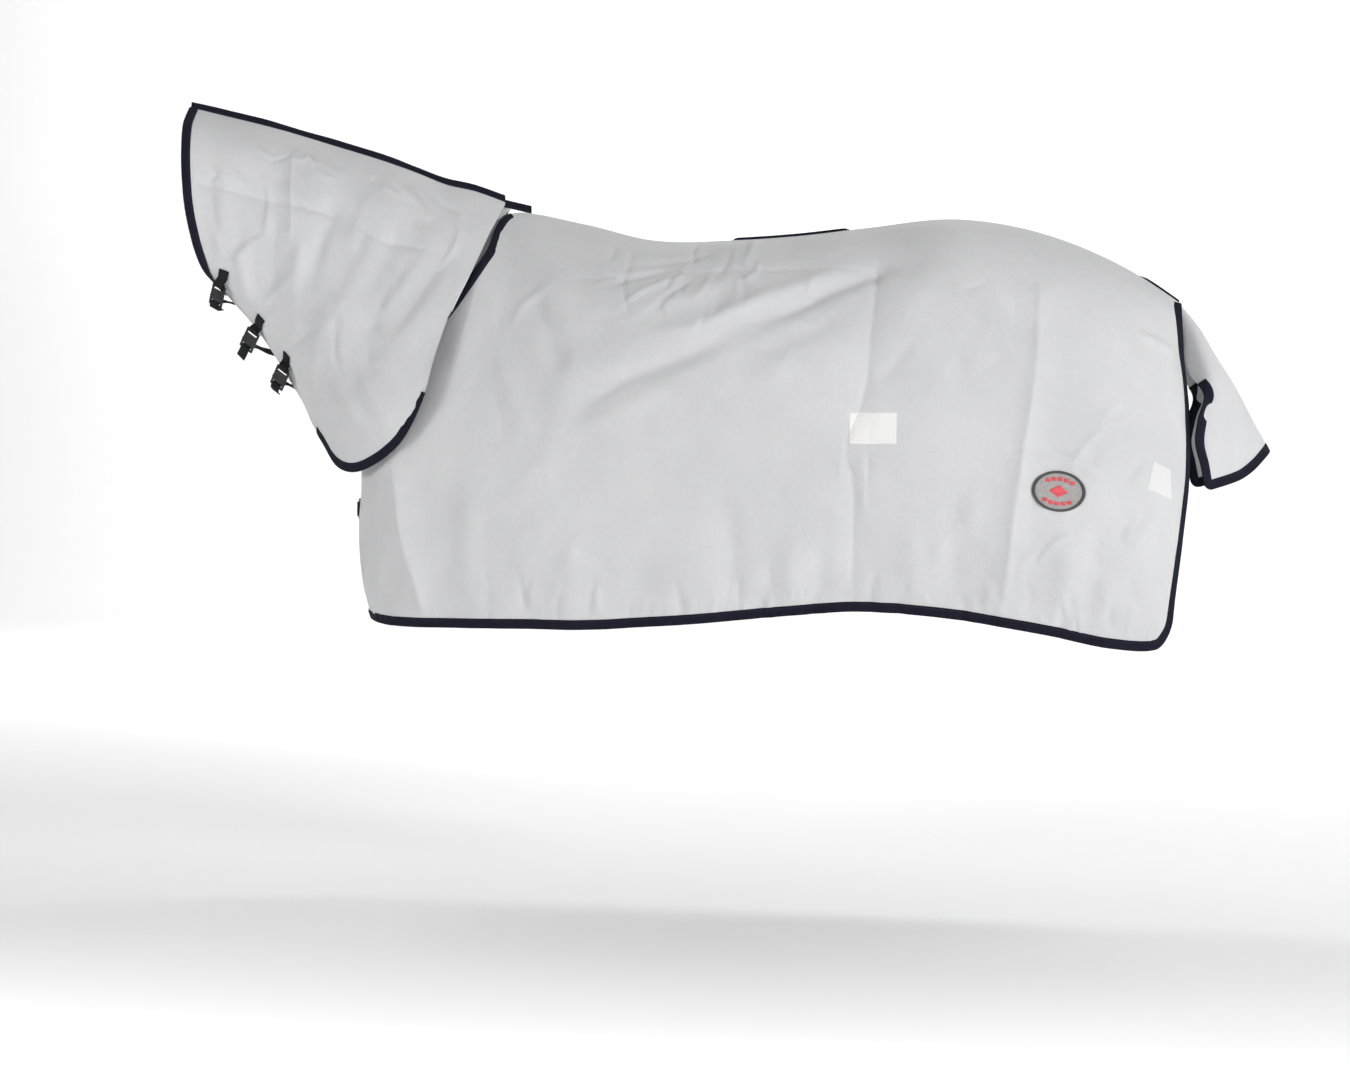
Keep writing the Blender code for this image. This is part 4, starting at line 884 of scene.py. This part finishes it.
def add_patch(name, tree, corners, counts, look, nodes):
    """A sewn patch with a turned edge and a row of stitches just inside it."""
    a, b, c, d = (np.array(corner) for corner in corners)
    grid = np.zeros((*counts, 3))
    for i, u in enumerate(np.linspace(0, 1, counts[0])):
        for j, v in enumerate(np.linspace(0, 1, counts[1])):
            grid[i, j] = on_panel(tree, *((a * (1 - u) + b * u) * (1 - v) + (d * (1 - u) + c * u) * v))[0]
    normal = normals_of(grid)
    u, v = np.meshgrid(np.linspace(0, 1, counts[0]), np.linspace(0, 1, counts[1]), indexing="ij")
    along, down = lengths_of(grid)
    edge = np.minimum(np.minimum(u, 1 - u) * along.mean(), np.minimum(v, 1 - v) * down.mean())
    stitches = np.exp(-(((edge - 0.005) / 0.0013) ** 2))
    lift = PATCH_LIFT + 0.0009 * np.clip(edge / 0.0015, 0, 1) - 0.0008 * stitches
    lift[edge < 1e-6] = 0.0001
    grid = grid + normal * lift[..., None]
    made = add_piece(name, grid_mesh(name, grid, arc_uv(grid)), look, nodes)


def on_badge(u, v):
    """The place (x, z) of a point of the tilted badge, u along it and v up it from its centre."""
    tilt = np.radians(BADGE_TILT)
    return (BADGE_CENTRE[0] + u * np.cos(tilt) + v * np.sin(tilt),
            BADGE_CENTRE[1] - u * np.sin(tilt) + v * np.cos(tilt))


def add_oval(tree, name, radii, lifts, look, nodes):
    """A ring or a disc of the badge, as shares of its half size, with how far it stands off the cloth."""
    around = np.linspace(0, 2 * np.pi, 97)
    grid = np.zeros((len(around), len(radii), 3))
    uv = np.zeros((len(around), len(radii), 2))
    for i, angle in enumerate(around):
        for j, (radius, lift) in enumerate(zip(radii, lifts)):
            u, v = np.cos(angle) * radius * BADGE_SIZE[0] / 2, np.sin(angle) * radius * BADGE_SIZE[1] / 2
            x, z = on_badge(u, v)
            grid[i, j] = on_panel(tree, x, z)[0] - (0, lift, 0)
            uv[i, j] = (x, z) if radius < 0.88 else (angle * 0.05, radius * 0.05)
    add_piece(name, grid_mesh(name, grid, uv, flip=True), look, nodes)


def add_motif(tree, name, corners, steps):
    """A raised red shape with four corners."""
    corners = np.array(corners, float)
    ends = np.roll(corners, -1, axis=0)
    sides = [np.linspace(start, end, steps, endpoint=False) for start, end in zip(corners, ends)]
    outline = np.concatenate(sides + [corners[:1]])
    middle = corners.mean(axis=0)
    profile = [(0.002, 0.0034), (0.6, 0.0034), (0.96, 0.0031), (1.0, 0.0022)]
    grid = np.zeros((len(outline), len(profile), 3))
    uv = np.zeros((len(outline), len(profile), 2))
    for i, point in enumerate(outline):
        for j, (share, lift) in enumerate(profile):
            x, z = on_badge(*(middle + (point - middle) * share))
            grid[i, j] = on_panel(tree, x, z)[0] - (0, lift, 0)
            uv[i, j] = (x, z)
    add_piece(name, grid_mesh(name, grid, uv, flip=True), BADGE_RED, [])


def add_badge(tree):
    """A plain oval badge: an embroidered field, a raised dark rim, and a generic lozenge and bars in red."""
    add_oval(tree, "badge_field", [0.001, 0.2, 0.4, 0.6, 0.8, 0.89], [0.0022] * 6, BADGE_FIELD, ["badge"])
    add_oval(tree, "badge_rim", [0.87, 0.88, 0.90, 0.94, 0.98, 1.0, 1.005],
             [0.0020, 0.0030, 0.0036, 0.0038, 0.0036, 0.0026, 0.0002], BADGE_RIM, [])
    add_motif(tree, "badge_lozenge", [(-0.020, 0.0), (0.0, 0.013), (0.020, 0.0), (0.0, -0.013)], 24)
    bar = np.array([(-0.0050, -0.0040), (-0.0050, 0.0040), (0.0050, 0.0040), (0.0050, -0.0040)])
    for k in range(-2, 3):
        for sign, row in ((-1, "low"), (1, "high")):
            middle = (k * 0.0125, sign * (0.0255 - 0.0013 * k * k))
            add_motif(tree, f"badge_bar_{k + 2}_{row}", middle + bar, 4)


# ---- The rug


def side_border(grid, path):
    """Edge and inner points and normals along a list of (column, row, inner column, inner row)."""
    normal = normals_of(grid)
    edge = np.array([grid[i, j] for i, j, _, _ in path])
    inner = np.array([grid[m, n] for _, _, m, n in path])
    return edge, inner, np.array([normal[i, j] for i, j, _, _ in path])


def both(half):
    """A border carried on over the middle to the off side."""
    return [np.concatenate([item, mirrored(item)[::-1]]) for item in half]


def hem_path(last, low, top):
    """The path along a hem and up the last column to the top row."""
    path = [(i, low, min(max(i, 5), last - 5), low - 5) for i in range(last)]
    return path + [(last, j, last - 5, min(j, low - 5)) for j in range(low, top - 1, -1)]


def strewn(rows):
    return [crinkle for row in rows for crinkle in crinkles(*row)]


def half_grid(sheet, counts, corners):
    """A near half, cut from its folded sheet and kept clear of the middle."""
    sheet[..., 1] = np.minimum(sheet[..., 1], 0) - SEAM_GAP
    return cut_sheet(sheet, counts, corners)


def half_mesh(name, side, grid):
    """The mesh of a near half, or its mirror image on the off side."""
    flip = side == "off"
    return grid_mesh(name, mirrored(grid) if flip else grid, arc_uv(grid), flip)


def half_tape(name, side, border, nodes):
    return add_tape(name, *(mirrored(line) if side == "off" else line for line in border), nodes)


def build_body():
    fine, rib_places = fine_sheet(BODY_RIBS, *BODY_FINE)
    last, low = BODY_GRID[0] - 1, BODY_GRID[1] - 1
    crinkled = strewn(BODY_CRINKLES) + puckers(fine, 31, 110)
    sheets = {
        "near": add_folds(fine, BODY_FOLDS, BODY_WRINKLES + crinkled, BODY_CREASES, 0.0022, 4.0),
        "off": add_folds(fine, BODY_FOLDS, crinkled, (), 0.0022, 17.0),
    }
    around = [(0, j, 4, j) for j in range(3, low - 5)] + [(0, j, 5, low - 5) for j in range(low - 5, low)]
    around += hem_path(last, low, 0)
    grids = {}
    for side, sheet in sheets.items():
        grid = grids[side] = half_grid(sheet, BODY_GRID, (0.075, 0.055))
        mesh = half_mesh("body", side, grid)
        made = add_piece(f"body_cloth_{side}", mesh, COTTON, [f"body_{side}"])
        tape = half_tape(f"edge_tape_{side}", side, side_border(grid, around), [f"edge_binding_{side}"])
    withers = round(rib_places[WITHERS_RIB] * last)
    neckline = side_border(grids["near"], [(i, 0, i, 4) for i in range(withers - 3)])
    add_tape("neckline_tape", *both(neckline), ["neckline_binding"])
    spine = fine[:, 0] * (1, 0, 1)
    spine = spine[(spine[:, 0] > -0.555) & (spine[:, 0] < 0.903)]
    upright = np.clip((0.145 - np.abs(spine[:, 0] - 0.045)) * 30, 0, 1)
    upright += np.clip((spine[:, 0] - 0.80) * 20, 0, 1)
    add_fin("spine_tape", spine, SPINE_HEIGHT, np.radians(SPINE_LEAN) * (1 - upright), ["spine_binding"])
    tree = panel_tree(grids["near"])
    add_patch("side_patch_cloth", tree, SIDE_PATCH, (42, 30), PATCH, ["side_patch"])
    add_patch("rear_patch_cloth", tree, REAR_PATCH, (24, 30), REAR_CLOTH, ["rear_patch"])
    add_badge(tree)
    add_chest_closure(tree)


def rear_pleat(grid):
    """A strip that starts at the rear edge of a neck half, turns under it and comes back out."""
    low = grid.shape[1] - 1
    depth = int(low * 0.62)
    edge, normal = grid[-1, :depth], normals_of(grid)[-1, :depth]
    back = unit(grid[-1] - grid[-6])[:depth]
    reach = 0.020 * np.clip(1 - np.arange(depth) / low * 10.6, -0.35, 1)
    turns = [edge] + [edge - normal * inward - back * forward for inward, forward in PLEAT]
    turns = np.array(turns + [edge - normal * 0.0125 + back * reach[:, None]])
    knots, places = np.linspace(0, 1, len(turns)), np.linspace(0, 1, 37)
    strip = np.stack([curve_through(turns[:, j], knots, places) for j in range(depth)], axis=1)
    strip[..., 1] = np.minimum(strip[..., 1], -SEAM_GAP)
    return strip


def build_neck():
    fine, _ = fine_sheet(NECK_RIBS, *NECK_FINE)
    last, low = NECK_GRID[0] - 1, NECK_GRID[1] - 1
    crinkled = strewn(NECK_CRINKLES)
    sheets = {
        "near": add_folds(fine, NECK_FOLDS, NECK_WRINKLES + crinkled, NECK_CREASES, 0.0022, 9.0),
        "off": add_folds(fine, NECK_FOLDS, crinkled, (), 0.0022, 31.0),
    }
    grids = {}
    for side, sheet in sheets.items():
        grid = grids[side] = half_grid(sheet, NECK_GRID, (0.020, 0.040))
        strip = rear_pleat(grid)
        mesh = half_mesh("neck", side, grid)
        made = add_piece(f"neck_cloth_{side}", mesh, COTTON, [f"neck_{side}"])
        pleat = add_piece(f"neck_pleat_{side}", half_mesh("pleat", side, strip), COTTON, [])
        start = int(np.argmin(np.abs(grid[:, low, 0] + 1.045)))
        path = [(i, low, min(i, last - 5), low - 4) for i in range(start, last + 1)]
        path += [(last, j, last - 5, low - 4) for j in range(low - 1, low - 6, -1)]
        border = side_border(grid, path)
        lower = half_tape(f"neck_lower_tape_{side}", side, border, [f"neck_lower_binding_{side}"])
    front = side_border(grids["near"], [(0, j, 6, j) for j in range(low - 1, -1, -1)])
    add_tape("neck_front_tape", *both(front), ["neck_front_binding"])
    tree = panel_tree(grids["near"])
    for closure in CLOSURES:
        add_closure(tree, *closure)
    crest = fine[:, 0] * (1, 0, 1)
    crest = crest[(crest[:, 0] > -1.392) & (crest[:, 0] < -0.612)]
    add_fin("crest_tape", crest, CREST_HEIGHT, 0.35 * np.sin(crest[:, 0] * 21), ["crest_binding"])
    under = np.linspace((-0.630, 0, 0.088), (-0.558, 0, 0.070), 16)
    add_fin("withers_tape", under, CREST_HEIGHT, 0.0, ["withers_binding"])


def build_flap():
    off = [[(x, -y, z) for x, y, z in rib] for rib in FLAP_RIBS[-2::-1]]
    fine, _ = fine_sheet(FLAP_RIBS + off, *FLAP_FINE)
    grid = cut_sheet(add_folds(fine, crumple=0.0025, seed=23.0), FLAP_GRID, (0.020, 0.020))
    last, low, top = FLAP_GRID[0] - 1, FLAP_GRID[1] - 1, 26
    mesh = grid_mesh("flap", grid, arc_uv(grid))
    made = add_piece("tail_flap_cloth", mesh, COTTON, ["tail_flap"])
    path = [(0, j, 5, min(j, low - 5)) for j in range(top, low)] + hem_path(last, low, top)
    tape = add_tape("tail_flap_tape", *side_border(grid, path), ["tail_flap_binding"])


# ---- Stage, light and camera


def build_stage():
    """A pale floor that bends up into a wall behind the rug and another behind the camera."""
    reach, bend, height, end = 10.0, 3.0, 9.0, 16.0
    turn = np.linspace(0, np.pi / 2, 24)
    curve = [(reach - bend + bend * np.sin(a), bend - bend * np.cos(a)) for a in turn]
    profile = [(-reach, height)] + [(-y, z) for y, z in curve[::-1]] + curve + [(reach, height)]
    grid = np.array([[(x, y, FLOOR_Z + z) for y, z in profile] for x in (-end, end)])
    mesh = grid_mesh("studio_floor", grid, np.zeros((*grid.shape[:2], 2)))
    floor = bpy.data.objects.new("studio_floor", mesh)
    bpy.context.scene.collection.objects.link(floor)
    look = Shader("studio_floor_look", (0.93, 0.93, 0.93), 0.95)
    look.finish(None, look.bump(look.noise(look.place(), 40.0, 2.0), 0.02, 0.001))
    mesh.materials.append(look.material)


def add_area(name, spot, aim, size, power, spread=np.pi):
    light = bpy.data.lights.new(name, "AREA")
    light.shape = "RECTANGLE"
    light.size, light.size_y = size
    light.energy = power
    light.spread = spread
    made = bpy.data.objects.new(name, light)
    bpy.context.scene.collection.objects.link(made)
    made.location = spot
    made.rotation_euler = (Vector(aim) - Vector(spot)).to_track_quat("-Z", "Y").to_euler()


def build_light():
    world = bpy.data.worlds.new("studio")
    bpy.context.scene.world = world
    world.use_nodes = True
    background = world.node_tree.nodes["Background"]
    background.inputs["Color"].default_value = (1, 1, 1, 1)
    background.inputs["Strength"].default_value = 0.26
    add_area("key", (7.8, -4.4, 1.6), (-0.2, -0.3, -0.3), (1.6, 1.6), 600)
    add_area("fill", (-5.2, -5.0, 1.2), (-0.8, 0.0, -0.2), (1.8, 1.8), 170)
    for x in (-4.0, 4.0):
        add_area("backdrop", (x, 2.5, 4.5), (x * 0.6, 10.0, 0.5), (5.0, 2.0), 340)
    add_area("front_floor", (0.0, -2.7, 4.5), (0.0, -2.7, -1.6), (6.0, 0.5), 62, np.radians(45))
    bpy.context.scene.view_settings.view_transform = "Standard"


def build_camera():
    camera = bpy.data.objects.new("camera", bpy.data.cameras.new("camera"))
    bpy.context.scene.collection.objects.link(camera)
    camera.data.lens = 52
    camera.data.sensor_width = 36
    camera.location = (0.559, -4.42, -0.480)
    camera.rotation_euler = (np.radians(90 - 2.64), 0, np.radians(10))
    bpy.context.scene.camera = camera


build_camera()
build_body()
build_neck()
build_flap()
build_stage()
build_light()
